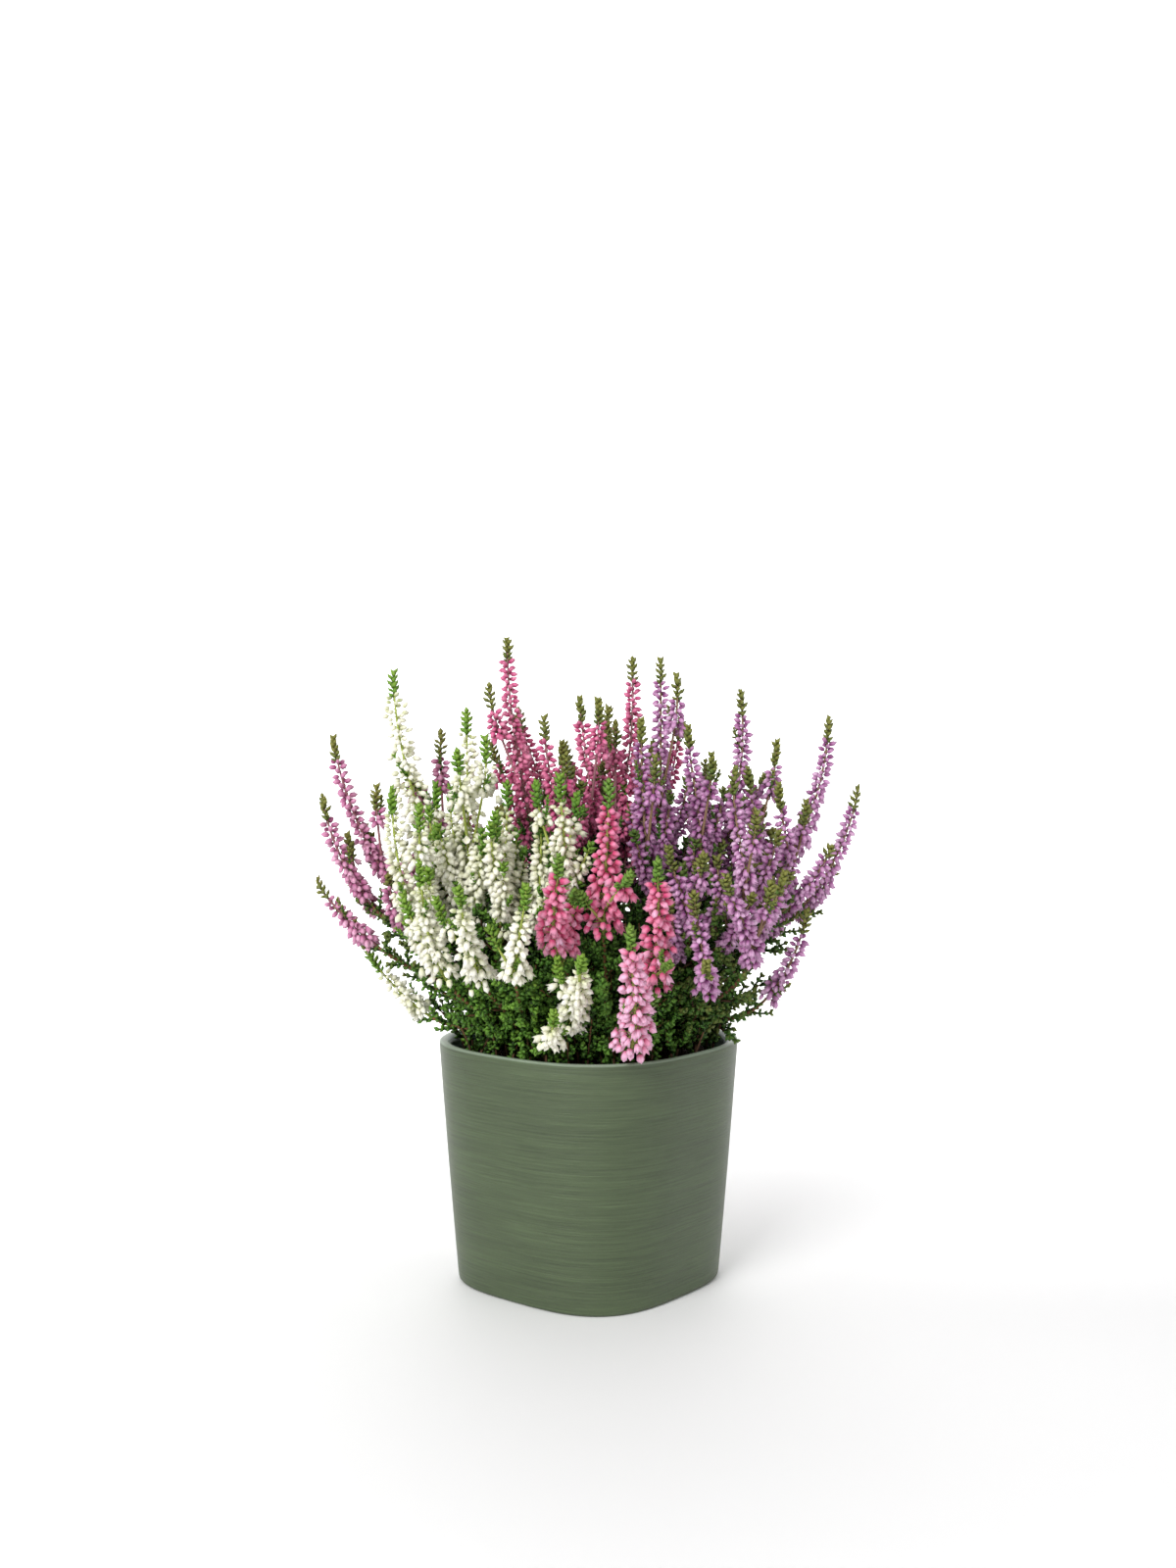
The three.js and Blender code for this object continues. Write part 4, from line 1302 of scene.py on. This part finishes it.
def clear_of_pot(curve):
    """Whether a curve stays above the peat, and above the lip where it crosses the wall."""
    points = bezier(curve, np.linspace(0.1, 1, 10))
    reach = np.hypot(points[:, 0], points[:, 1])
    inner = pot_reach(np.arctan2(points[:, 1], points[:, 0]), POT_HEIGHT, WALL_CLEARANCE)
    floor = np.where(reach < inner, PEAT_EDGE + 1, POT_HEIGHT + LIP_CLEARANCE)
    return bool((points[:, 2] > floor).all())


def within_box(points, margin):
    """Whether points lie inside the frame's box by a margin."""
    low, high = CAD_BOX_MM
    return bool((points > low + margin).all() and (points < high - margin).all())


def openness(places):
    """How open to the light places are: 0 deep inside the plants and 1 in their outer part."""
    reach = np.hypot(places[:, 0], places[:, 1])
    outer = mix(*OUTER_REACH, rising(places[:, 2], *OUTER_RISE))
    return np.maximum(rising(reach / outer, *OPEN_OUTWARDS), rising(places[:, 2], *OPEN_UPWARDS))


class Heather:
    """What the operators share: the sprays and the modelled shapes."""

    sprays = []
    shapes = {}

    @classmethod
    def prepare(cls):
        if cls.sprays:
            return
        settings = bpy.context.scene.heather
        bud = (settings.flowers.length / MM, settings.flowers.width / MM)
        leaf = (settings.leaves.length / MM, settings.leaves.width / MM)
        cls.sprays = list_sprays()
        cls.shapes = {
            "bud": Shape(model_bud(*bud)),
            "bell": Shape(model_bell(*bud), BELL_SPAN),
            "leaf": Shape(model_leaf(*leaf)),
            "stalk": Shape(model_stalk()),
            "crumb": Shape(model_crumb()),
            **{name: Shape(model_twig(*facts)) for name, facts in TWIGS.items()},
        }


def dress(piece, slot, *nodes):
    """Puts a piece in the frame: it rides on the body and stands for its nodes, which it hides. The
    slot is not used.
    """
    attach(piece, BODY)
    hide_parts(*nodes)


def stream(*keys):
    """A random stream of its own for each piece."""
    return np.random.default_rng([ord(letter) for letter in "".join(keys)])


def flower_rows(spike, draw):
    """Where the flowers of a spike sit: share up the spike, the curve's frame, outward and radius."""
    start, end = spike.stretch
    steps = np.linspace(0, 1, 200)
    density = mix(*BUD_DENSITY, steps ** BUD_CROWDING) * PLANTS[spike.plant]["density"]
    total = np.cumsum(density) * (end - start) * spike.length / len(steps)
    rise = np.interp(np.arange(int(total[-1])) + 0.5, total, steps)
    turns = np.arange(len(rise)) * GOLDEN_TURN + draw.normal(0, BUD_TURN_SPREAD, len(rise))
    frames = curve_frame(spike.curve, mix(start, end, rise))
    radius = spike.widest * mix(1, SPIKE_TOP_SHARE, rise ** SPIKE_TAPER)
    return rise, frames, round_curve(frames, turns), radius


def place_flowers(spike):
    """The flowers of a spike: where each leaves the axis and sits, its direction, size and tone."""
    draw = stream("flowers", spike.name)
    rise, frames, outward, radius = flower_rows(spike, draw)
    places, _, _, along = frames
    count = len(rise)
    long, wide = PLANTS[spike.plant]["bud"]
    lift = mix(*BUD_LIFT, rise) + draw.normal(0, BUD_LIFT_SPREAD, count)
    upward = unit(UP + BUD_FOLLOWS_SPIKE * along)
    heading = unit(outward * np.cos(lift)[:, None] + upward * np.sin(lift)[:, None])
    size = draw.uniform(*BUD_SIZES, count)
    tone = draw.normal(BUD_TONE, BUD_TONE_SPREAD, count) + draw.normal(0, SPIKE_TONE_SPREAD)
    tone = mix(np.clip(tone, *BUD_TONES), BUD_TONES[0], rising(rise, *DEEP_TOP))
    # Painted shade: buds deep inside the plants are darker.
    tone *= mix(BUD_SHADE, 1, openness(places))
    if spike.plant == "white":
        young = rising(rise, *YOUNG_WHITE)
        size *= mix(1, YOUNG_WHITE_SIZE, young)
        tone = mix(tone, YOUNG_WHITE_TONE, young ** 2)
    if spike.name.startswith(PALE_SPRAY):
        tone = np.minimum(tone + PALE_SHIFT, BUD_TONES[1])
    length = size * mix(*BUD_LENGTHS, rise) * long
    width = size * mix(*BUD_WIDTHS, rise) * wide
    reach = radius * draw.uniform(*BUD_REACH, count)
    longest = length * bpy.context.scene.heather.flowers.length / MM
    base = np.maximum(reach - longest * np.cos(lift), BUD_NEAREST)
    raised = -np.minimum(np.sin(lift), 0) * longest * BUD_SWING
    return {
        "rise": rise,
        "feet": places - along * STALK_DROP,
        "seats": places + outward * base[:, None] + upward * raised[:, None],
        "heading": heading,
        "outward": outward,
        "sizes": np.stack([width, width, length], axis=1),
        "tone": tone,
    }


def add_twig(gather, curve, radii, name="shoot", tone=BARK_BAND[0], stretch=TWIG_STRETCH, slot=1):
    """A twig along a stretch of a curve, with a radius at either end."""
    shape = Heather.shapes[name]
    gather.put(shape, bent(shape, curve, radii, stretch)[None], [tone], slot)


def leaf_cord(
        gather, curve, stretch, tones, draw,
        pitch=CORD_PITCH, leaf=CORD_LEAF, spread=CORD_SPREAD):
    """Pairs of scale leaves, each turned across the last, along a stretch of a green twig."""
    add_twig(gather, curve, CORD_TWIG, "cord", max(tones[0] * 0.5, LEAF_BAND[0]), stretch, 0)
    start, end = stretch
    pairs = max(2, int((end - start) * curve_length(curve) / pitch))
    step = np.repeat(np.arange(pairs), 2)
    share = (step + 0.5) / pairs
    count = len(step)
    turns = (step % 2) * math.pi / 2 + np.tile([0, math.pi], pairs)
    turns = turns + draw.normal(0, LEAF_TURN_SPREAD, count)
    frames = curve_frame(curve, mix(start, end, share))
    outward = round_curve(frames, turns + draw.uniform(0, 3))
    opening = spread * mix(1, CORD_CLOSED, share ** 3) + draw.normal(0, LEAF_OPEN_SPREAD, count)
    heading = frames[3] * np.cos(opening)[:, None] + outward * np.sin(opening)[:, None]
    size = mix(CORD_ENDS, 1, np.sin(share * math.pi)) * draw.uniform(*LEAF_SIZES, count)
    sizes = size[:, None] * (leaf[0], leaf[0], leaf[1])
    tone = draw.normal(mix(*tones, share), LEAF_TONE_SPREAD, count)
    # Painted shade: leaves deep inside the plants are darker.
    tone = np.clip(tone * mix(LEAF_SHADE, 1, openness(frames[0])), *LEAF_BAND)
    gather.place(Heather.shapes["leaf"], frames[0], axes(heading, outward), sizes, tone)


def add_frond(gather, curve, tones, draw):
    """A leafy shoot: a cord of leaves if it is short, or else a twig with cords on either side."""
    length = curve_length(curve)
    if length < CORD_LENGTH * FROND_FROM:
        leaf_cord(gather, curve, TWIG_STRETCH, tones, draw)
        return
    add_twig(gather, curve, FROND_TWIG)
    leaf_cord(gather, curve, (1 - CORD_LENGTH * 0.8 / length, TWIG_TOP), tones, draw)
    plane = draw.uniform(0, math.pi)
    count = int((length - CORD_LENGTH * 0.5) / FROND_STEP)
    for index in range(count):
        share = (index + 0.7) / (count + 1) * FROND_HIGHEST
        turn = plane + index * math.pi + draw.normal(0, FROND_TURN_SPREAD)
        reach = CORD_LENGTH * mix(1, FROND_TAPER, share) * draw.uniform(*FROND_LENGTHS)
        cord = offshoot(curve, share, turn, reach, FROND_LEAN, CORD_BEND)
        if clear_of_pot(cord):
            leaf_cord(gather, cord, TWIG_STRETCH, tones, draw)


def stem_shoots(spray):
    """Places for the leafy side shoots of a stem, longer low down, on all sides of it."""
    draw = stream("shoots", spray.node)
    stem = spray.stem()
    count = int(curve_length(stem) / STEM_SHOOT_PITCH)
    curves = []
    for index in range(count):
        share = mix(STEM_SHOOT_FROM, 1.0, (index + draw.uniform(0.2, 0.8)) / count)
        turn = index * GOLDEN_TURN + draw.uniform(-0.4, 0.4)
        lean = (draw.uniform(0.5, 1.0), 1, STEM_SHOOT_RISE)
        length = mix(*STEM_SHOOT_LENGTHS, share) * draw.uniform(*STEM_SHOOT_SIZES)
        curve = offshoot(stem, share, turn, length, lean, STEM_SHOOT_BEND)
        if clear_of_pot(curve) and within_box(curve[3], STEM_SHOOT_MARGIN):
            curves.append((share, curve))
    return curves


def clump_shoots(plant):
    """Shoots that rise close round a plant's base and hide where its stems fork."""
    draw = stream("clump", plant)
    curves = []
    for index in range(CLUMP_SHOOTS):
        turn = index * GOLDEN_TURN
        reach = CLUMP_REACH * math.sqrt((index + 0.5) / CLUMP_SHOOTS)
        height = mix(*CLUMP_HEIGHTS, reach / CLUMP_REACH) * draw.uniform(*CLUMP_SIZES)
        foot = over_base(plant, draw.uniform(*CLUMP_FEET))
        tip = foot + toward(turn) * reach * CLUMP_SPLAY + UP * height
        curve = bowed(foot, tip, unit(toward(turn) + UP))
        if clear_of_pot(curve):
            curves.append(curve)
    return curves


def tufts():
    """Short shoots that come up all over the peat, each listed with the plant that stands nearest."""
    draw = stream("tufts")
    found = {plant: [] for plant in PLANTS}
    for index in range(TUFT_COUNT):
        turn = index * GOLDEN_TURN
        share = math.sqrt((index + 0.5) / TUFT_COUNT)
        reach = share * float(pot_reach(turn, PEAT_EDGE, TUFT_INSET))
        foot = toward(turn) * reach + UP * (PEAT_EDGE + PEAT_MOUND * (1 - share ** 2))
        lean = toward(turn) * draw.uniform(*TUFT_LEANS)
        heading = unit(UP + lean + draw.normal(0, TUFT_SCATTER, 3) * (1, 1, 0))
        tip = foot + heading * mix(*TUFT_LENGTHS, share) * draw.uniform(*TUFT_SIZES)
        curve = bowed(foot, tip, UP)
        nearest = min(PLANTS, key=lambda plant: math.dist(PLANTS[plant]["foot"], foot[:2]))
        if clear_of_pot(curve):
            found[nearest].append(curve)
    return found


def skirt(plant):
    """Long leafy shoots that lean out over the lip from the outer side of a plant's base."""
    draw = stream("skirt", plant)
    curves = []
    for index in range(SKIRT_COUNT):
        swing = mix(-SKIRT_SWING, SKIRT_SWING, (index + draw.uniform(0, 1)) / SKIRT_COUNT)
        foot = over_base(plant, draw.uniform(*SKIRT_FEET))
        slope = mix(*SKIRT_SLOPES, fraction(index * GOLDEN))
        curve = shoot_curve(foot, bearing(foot) + swing, slope, draw.uniform(*SKIRT_LENGTHS))
        if clear_of_pot(curve) and within_box(curve[3], SKIRT_MARGIN):
            curves.append(curve)
    return curves


def add_spike_green(gather, spike):
    """A spike's axis, the stalks of its flowers, its leafy tip and a sprig among the flowers."""
    draw = stream("green", spike.name)
    curve = spike.curve
    add_twig(gather, curve, SPIKE_AXIS, "axis", BARK_BAND[1])
    flowers = place_flowers(spike)
    stalk = Heather.shapes["stalk"]
    x, y, share = (stalk.points[None, :, axis:axis + 1] for axis in range(3))
    reach = flowers["seats"] + flowers["heading"] * STALK_SUNK - flowers["feet"]
    across = axes(reach, flowers["outward"] + flowers["heading"] * 0.3)
    level = STALK_RADIUS * (x * across[:, None, 0] + y * across[:, None, 1])
    points = flowers["feet"][:, None] + reach[:, None] * share + level
    gather.put(stalk, points, np.full(len(points), BARK_BAND[1]), 1)
    top = (spike.stretch[1] - TIP_OVERLAP, TWIG_TOP)
    leaf_cord(gather, curve, top, TIP_TONES, draw, TIP_PITCH, TIP_LEAF, TIP_SPREAD)
    share = mix(spike.stretch[0], SPRIG_HIGHEST, draw.uniform(*SPRIG_SHARES))
    turn = draw.uniform(0, FULL_TURN)
    twig = offshoot(curve, share, turn, draw.uniform(*SPRIG_LENGTHS), SIDE_LEAN, CORD_BEND)
    if within_box(twig[3], 2) and clear_of_pot(twig):
        leaf_cord(gather, twig, TWIG_STRETCH, SPRIG_TONES, draw, TIP_PITCH, SPRIG_LEAF, TIP_SPREAD)


def square_off(piece, radius):
    """Takes a round pot to its rounded square: a point keeps its height and its depth in the wall."""
    points = read(piece.data.vertices, "co", 3) / MM
    angles = np.arctan2(points[:, 1], points[:, 0])
    reach = np.hypot(points[:, 0], points[:, 1])
    inset = radius - reach
    squared = pot_reach(angles, np.clip(points[:, 2], 0, POT_HEIGHT), np.minimum(inset, POT_SQUARED))
    scale = np.where(inset < POT_SQUARED, squared / np.maximum(reach, 1e-6), 1)
    points[:, :2] *= scale[:, None]
    piece.data.vertices.foreach_set("co", (points * MM).ravel())
    piece.data.update()


class HEATHER_OT_make_pot(bpy.types.Operator):
    """Model the glazed pot"""

    bl_idname = "heather.make_pot"
    bl_label = "Make Pot"

    def execute(self, context):
        settings = context.scene.heather.pot
        radius = POT_RIM_HALF * MM
        height = POT_HEIGHT * MM
        bpy.ops.object.select_all(action="DESELECT")
        bpy.ops.mesh.primitive_cylinder_add(
            vertices=POT_SIDES, radius=radius, depth=height, end_fill_type="NGON",
            location=(0, 0, height / 2))
        pot = just_added()
        pot.name = "glazed_pot"
        with bench(pot):
            pick(lambda face: face.normal.z > 0.9, "faces")
            bpy.ops.mesh.inset(thickness=settings.wall, use_even_offset=True)
            extrude_up(POT_FLOOR * MM - height)
            for band in range(1, POT_BANDS):
                bpy.ops.mesh.select_all(action="SELECT")
                level = height * band / POT_BANDS
                bpy.ops.mesh.bisect(plane_co=(0, 0, level), plane_no=(0, 0, 1), threshold=1e-6)
            wall = radius - settings.wall / 2
            corners = (
                (settings.lip_edge, height, wall, radius),
                (settings.inner_edge, height, 0, wall),
                (settings.foot_edge, 0, 0, radius))
            for rounding, *where in corners:
                pick(lambda edge, where=where: self.is_corner(edge, *where), "edges")
                bpy.ops.mesh.bevel(offset=rounding, segments=EDGE_STEPS, profile=0.5)
            bpy.ops.mesh.select_all(action="SELECT")
            bpy.ops.mesh.normals_make_consistent(inside=False)
        square_off(pot, POT_RIM_HALF)
        choose(pot)
        bpy.ops.object.shade_smooth_by_angle(angle=SMOOTH_UNDER)
        pot.data.materials.append(glaze_finish("pot_glaze", tuple(settings.glaze)))
        pot.data.materials.append(glaze_finish("pot_inside", tuple(settings.inside)))
        for face in pot.data.polygons:
            centre = face.center / MM
            inner = pot_reach(bearing(centre), centre.z, settings.wall / MM * WALL_MIDDLE)
            face.material_index = int(centre.xy.length < inner and centre.z > POT_FLOOR / 2)
        dress(pot, "pot_glaze", "pot")
        return {"FINISHED"}

    @staticmethod
    def is_corner(edge, height, nearest, farthest):
        """Whether an edge is a sharp level one at a height, between two distances from the axis."""
        ends = [vertex.co for vertex in edge.verts]
        level = all(abs(end.z - height) < 1e-5 for end in ends)
        reach = ends[0].xy.length
        return level and nearest < reach < farthest * 1.001 and edge.calc_face_angle(0) > 1


class HEATHER_OT_fill_peat(bpy.types.Operator):
    """Fill the pot with peat, with crumbs and straws on top"""

    bl_idname = "heather.fill_peat"
    bl_label = "Fill Peat"

    def execute(self, context):
        Heather.prepare()
        settings = context.scene.heather
        radius = (POT_RIM_HALF - PEAT_CLEARANCE) * MM
        bpy.ops.object.select_all(action="DESELECT")
        bpy.ops.mesh.primitive_circle_add(
            vertices=PEAT_SIDES, radius=radius, fill_type="NGON", location=(0, 0, PEAT_EDGE * MM))
        peat = just_added()
        with bench(peat):
            bpy.ops.mesh.select_all(action="SELECT")
            for _ in range(PEAT_RINGS):
                bpy.ops.mesh.inset(thickness=radius / (PEAT_RINGS + 1.5), use_even_offset=True)
            bpy.ops.mesh.poke()
            pick(lambda edge: edge.is_boundary, "edges")
            extrude_up((PEAT_BOTTOM - PEAT_EDGE) * MM)
            bpy.ops.mesh.edge_face_add()
            bpy.ops.mesh.select_all(action="SELECT")
            bpy.ops.mesh.normals_make_consistent(inside=False)
        self.settle(peat, settings.pot.wall / MM + PEAT_CLEARANCE, radius / MM)
        peat.data.materials.append(peat_finish(tuple(settings.peat.colour)))
        peat.data.shade_smooth()
        litter = self.litter(settings)
        litter.data.materials.append(peat.data.materials[0])
        choose(peat, litter)
        bpy.ops.object.join()
        peat.name = "peat"
        for layer in peat.data.uv_layers[:]:
            peat.data.uv_layers.remove(layer)
        dress(peat, "peat", "soil")
        return {"FINISHED"}

    @staticmethod
    def height(x, y):
        """Height of the peat: a low mound with lumps and crumbs."""
        share = min(1, math.hypot(x, y) / POT_RIM_HALF)
        lumps = sum(
            noise.noise(Vector((x, y, layer)) * scale) * rise for scale, layer, rise in PEAT_LUMPS)
        return PEAT_EDGE + PEAT_MOUND * (1 - share * share) + lumps * (1 - share ** 8)

    def settle(self, peat, inset, radius):
        """Fits the round peat to the pot's inside and raises its top."""
        for vertex in peat.data.vertices:
            x, y, z = vertex.co / MM
            level = min(z, PEAT_EDGE)
            wall = float(pot_reach(bearing((x, y)), level, inset))
            scale = wall / radius
            x, y = x * scale, y * scale
            top = self.height(x, y) if z > PEAT_EDGE - 1 else z
            vertex.co = (x * MM, y * MM, top * MM)

    def litter(self, settings):
        """Crumbs of all sizes and a few dry straws, half sunk in the peat."""
        draw = stream("litter")
        gather = Gathering()
        reach = POT_RIM_HALF - settings.pot.wall / MM - WALL_CLEARANCE
        spots = np.array([toward(index * GOLDEN_TURN)[:2] for index in range(CRUMB_COUNT)])
        spots *= (reach * np.sqrt((np.arange(CRUMB_COUNT) + 0.5) / CRUMB_COUNT))[:, None]
        spots += draw.normal(0, CRUMB_SCATTER, spots.shape)
        shares = draw.uniform(*CRUMB_SHARES, CRUMB_COUNT) ** CRUMB_POWER
        sizes = settings.peat.crumb / MM / 2 * shares
        rise = np.array([self.height(x, y) for x, y in spots]) + sizes * CRUMB_RISE
        places = np.column_stack([spots, rise])
        turns = axes(draw.normal(size=places.shape), draw.normal(size=places.shape))
        sizes = np.maximum(sizes, CRUMB_LEAST)[:, None]
        tones = np.full(CRUMB_COUNT, LITTER_TONE)
        gather.place(Heather.shapes["crumb"], places, turns, sizes, tones)
        for start in places[:STRAW_COUNT]:
            away = toward(draw.uniform(0, FULL_TURN)) * draw.uniform(*STRAW_LENGTHS)
            end = start + away
            end[2] = self.height(*end[:2]) + STRAW_RISE[1]
            if math.hypot(*end[:2]) <= reach:
                curve = bowed(start + UP * STRAW_RISE[0], end, unit(away))
                add_twig(gather, curve, STRAW_RADII, "shoot", LITTER_TONE, (0, 1), 0)
        return gather.piece("litter", [])


class HEATHER_OT_grow_stems(bpy.types.Operator):
    """Grow the stems, leafy shoots and green tips of each plant"""

    bl_idname = "heather.grow_stems"
    bl_label = "Grow Stems"

    def execute(self, context):
        Heather.prepare()
        stem_radius = context.scene.heather.leaves.stem / MM
        shoots = frame_shoots(Heather.sprays)
        low_shoots = tufts()
        for plant in PLANTS:
            gather = Gathering()
            self.add_base(gather, plant)
            for spray in [one for one in Heather.sprays if one.plant == plant]:
                self.add_stem(gather, spray, stem_radius)
                for spike in spray.spikes():
                    add_spike_green(gather, spike)
            draw = stream("collar", plant)
            for curve in shoots[plant]:
                add_frond(gather, curve, COLLAR_TONES, draw)
            for curve in clump_shoots(plant) + low_shoots[plant] + skirt(plant):
                add_frond(gather, curve, LOW_SHOOT_TONES, draw)
            piece = gather.piece(f"{plant}_greenery", [leaf_finish(plant), bark_finish(plant)])
            dress(piece, f"{plant}_leaves", f"{plant}_stems")
        return {"FINISHED"}

    @staticmethod
    def add_base(gather, plant):
        """The woody base that the stems rise from, rooted in the peat."""
        foot = over_base(plant, BASE_DEPTH)
        curve = np.array([foot + UP * rise for rise in (0, 5, 11, 11 + BASE_RISE)])
        add_twig(gather, curve, BASE_RADII, "stem", stretch=(0, 1))

    @staticmethod
    def add_stem(gather, spray, radius):
        curve = spray.stem()
        radii = (radius * (STEM_FORKED if spray.parent else STEM_ALONE), STEM_TOP_RADIUS)
        add_twig(gather, curve, radii, "stem", stretch=(0, 1))
        draw = stream("stem", spray.node)
        for share, shoot in stem_shoots(spray):
            # Painted shade: shoots low on the stem get deeper tones.
            tones = [mix(*ends, share) for ends in STEM_SHOOT_TONES]
            add_frond(gather, shoot, tones, draw)
        leaf_cord(gather, curve, (0.5, 1.0), STEM_LEAF_TONES, draw, STEM_LEAF_PITCH)


class HEATHER_OT_open_flowers(bpy.types.Operator):
    """Set the flowers of each spray on their stalks"""

    bl_idname = "heather.open_flowers"
    bl_label = "Open Flowers"

    def execute(self, context):
        Heather.prepare()
        finishes = {plant: flower_finish(plant) for plant in PLANTS}
        for spray in Heather.sprays:
            gather = Gathering()
            for spike in spray.spikes():
                self.add_flowers(gather, place_flowers(spike))
            piece = gather.piece(f"{spray.node}_flowers", [finishes[spray.plant]])
            dress(piece, f"{spray.plant}_flowers", spray.node)
        return {"FINISHED"}

    @staticmethod
    def add_flowers(gather, flowers):
        """Buds, and open bells in place of some low ones."""
        turns = axes(flowers["heading"], flowers["outward"] + UP * 0.3)
        bells = (flowers["rise"] < BELLS_BELOW) & (np.arange(len(turns)) % BELL_EVERY == 0)
        for name, chosen in (("bud", ~bells), ("bell", bells)):
            gather.place(
                Heather.shapes[name], flowers["seats"][chosen], turns[chosen],
                flowers["sizes"][chosen], flowers["tone"][chosen])


class HEATHER_OT_set_stage(bpy.types.Operator):
    """Set the camera, the floor and the soft studio light"""

    bl_idname = "heather.set_stage"
    bl_label = "Set Stage"

    def execute(self, context):
        settings = context.scene.heather.stage
        aim = Vector(CAMERA_AIM)
        back = Vector((0, -math.cos(CAMERA_PITCH), math.sin(CAMERA_PITCH)))
        bpy.ops.object.camera_add(location=aim + back * CAMERA_DISTANCE)
        camera = context.object
        camera.rotation_euler = (-back).to_track_quat("-Z", "Y").to_euler()
        camera.data.lens = CAMERA_LENS
        context.scene.camera = camera
        bpy.ops.mesh.primitive_plane_add(size=FLOOR_SIZE)
        floor = context.object
        floor.name = "floor"
        with bench(floor):
            pick(lambda edge: all(end.co.y > 0 for end in edge.verts), "edges")
            extrude_up(FLOOR_SIZE)
            pick(lambda edge: all(end.co.y > 0 and end.co.z < 1 for end in edge.verts), "edges")
            bpy.ops.mesh.bevel(offset=COVE_RADIUS, segments=COVE_STEPS, profile=0.5)
        bpy.ops.object.shade_smooth()
        finish = Finish("floor")
        dust = finish.grain(finish.place(), 3, 2)
        colour = tuple(settings.floor)
        tone = finish.blend(dust, colour, tuple(c * 0.985 for c in colour))
        floor.data.materials.append(finish.surface({"Base Color": tone, "Roughness": 0.7}))
        for *light, power in LIGHTS:
            self.add_light(*light, settings.key * power)
        context.scene.world = self.studio_world(settings.sky)
        context.scene.view_settings.view_transform = "Standard"
        return {"FINISHED"}

    @staticmethod
    def studio_world(level):
        """A world that lights the plants softly and stands behind the floor as a white backdrop."""
        world = bpy.data.worlds.new("studio")
        world.use_nodes = True
        tree = world.node_tree
        sky = tree.nodes["Background"]
        sky.inputs["Color"].default_value = (1, 1, 1, 1)
        rays = tree.nodes.new("ShaderNodeLightPath")
        strength = tree.nodes.new("ShaderNodeMix")
        strength.inputs["A"].default_value = level
        strength.inputs["B"].default_value = 1
        tree.links.new(rays.outputs["Is Camera Ray"], strength.inputs["Factor"])
        tree.links.new(strength.outputs["Result"], sky.inputs["Strength"])
        return world

    @staticmethod
    def add_light(name, place, aim, size, power):
        bpy.ops.object.light_add(type="AREA", location=place)
        light = bpy.context.object
        light.name = name
        light.data.size = size
        light.data.energy = power
        light.rotation_euler = (Vector(aim) - Vector(place)).to_track_quat("-Z", "Y").to_euler()


class HEATHER_PT_sidebar(bpy.types.Panel):
    """Lists the steps of the potted heather"""

    bl_idname = "HEATHER_PT_sidebar"
    bl_label = "Potted Heather"
    bl_space_type = "VIEW_3D"
    bl_region_type = "UI"
    bl_category = "Heather"

    def draw(self, context):
        settings = context.scene.heather
        steps = (
            ("heather.make_pot", settings.pot,
             ("wall", "lip_edge", "inner_edge", "foot_edge", "glaze", "inside")),
            ("heather.fill_peat", settings.peat, ("crumb", "colour")),
            ("heather.grow_stems", settings.leaves, ("length", "width", "stem")),
            ("heather.open_flowers", settings.flowers, ("length", "width")),
            ("heather.set_stage", settings.stage, ("floor", "sky", "key")),
        )
        for operator, group, names in steps:
            box = self.layout.box()
            for name in names:
                box.prop(group, name)
            box.operator(operator)


CLASSES = (
    HeatherPot,
    HeatherPeat,
    HeatherFlowers,
    HeatherLeaves,
    HeatherStage,
    HeatherSettings,
    HEATHER_OT_make_pot,
    HEATHER_OT_fill_peat,
    HEATHER_OT_grow_stems,
    HEATHER_OT_open_flowers,
    HEATHER_OT_set_stage,
    HEATHER_PT_sidebar,
)


def register():
    for item in CLASSES:
        bpy.utils.register_class(item)
    bpy.types.Scene.heather = bpy.props.PointerProperty(type=HeatherSettings)


def unregister():
    del bpy.types.Scene.heather
    for item in reversed(CLASSES):
        bpy.utils.unregister_class(item)


def main():
    register()
    bpy.ops.heather.set_stage()
    bpy.ops.heather.make_pot()
    bpy.ops.heather.fill_peat()
    bpy.ops.heather.grow_stems()
    bpy.ops.heather.open_flowers()
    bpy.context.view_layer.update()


if __name__ == "__main__":
    main()
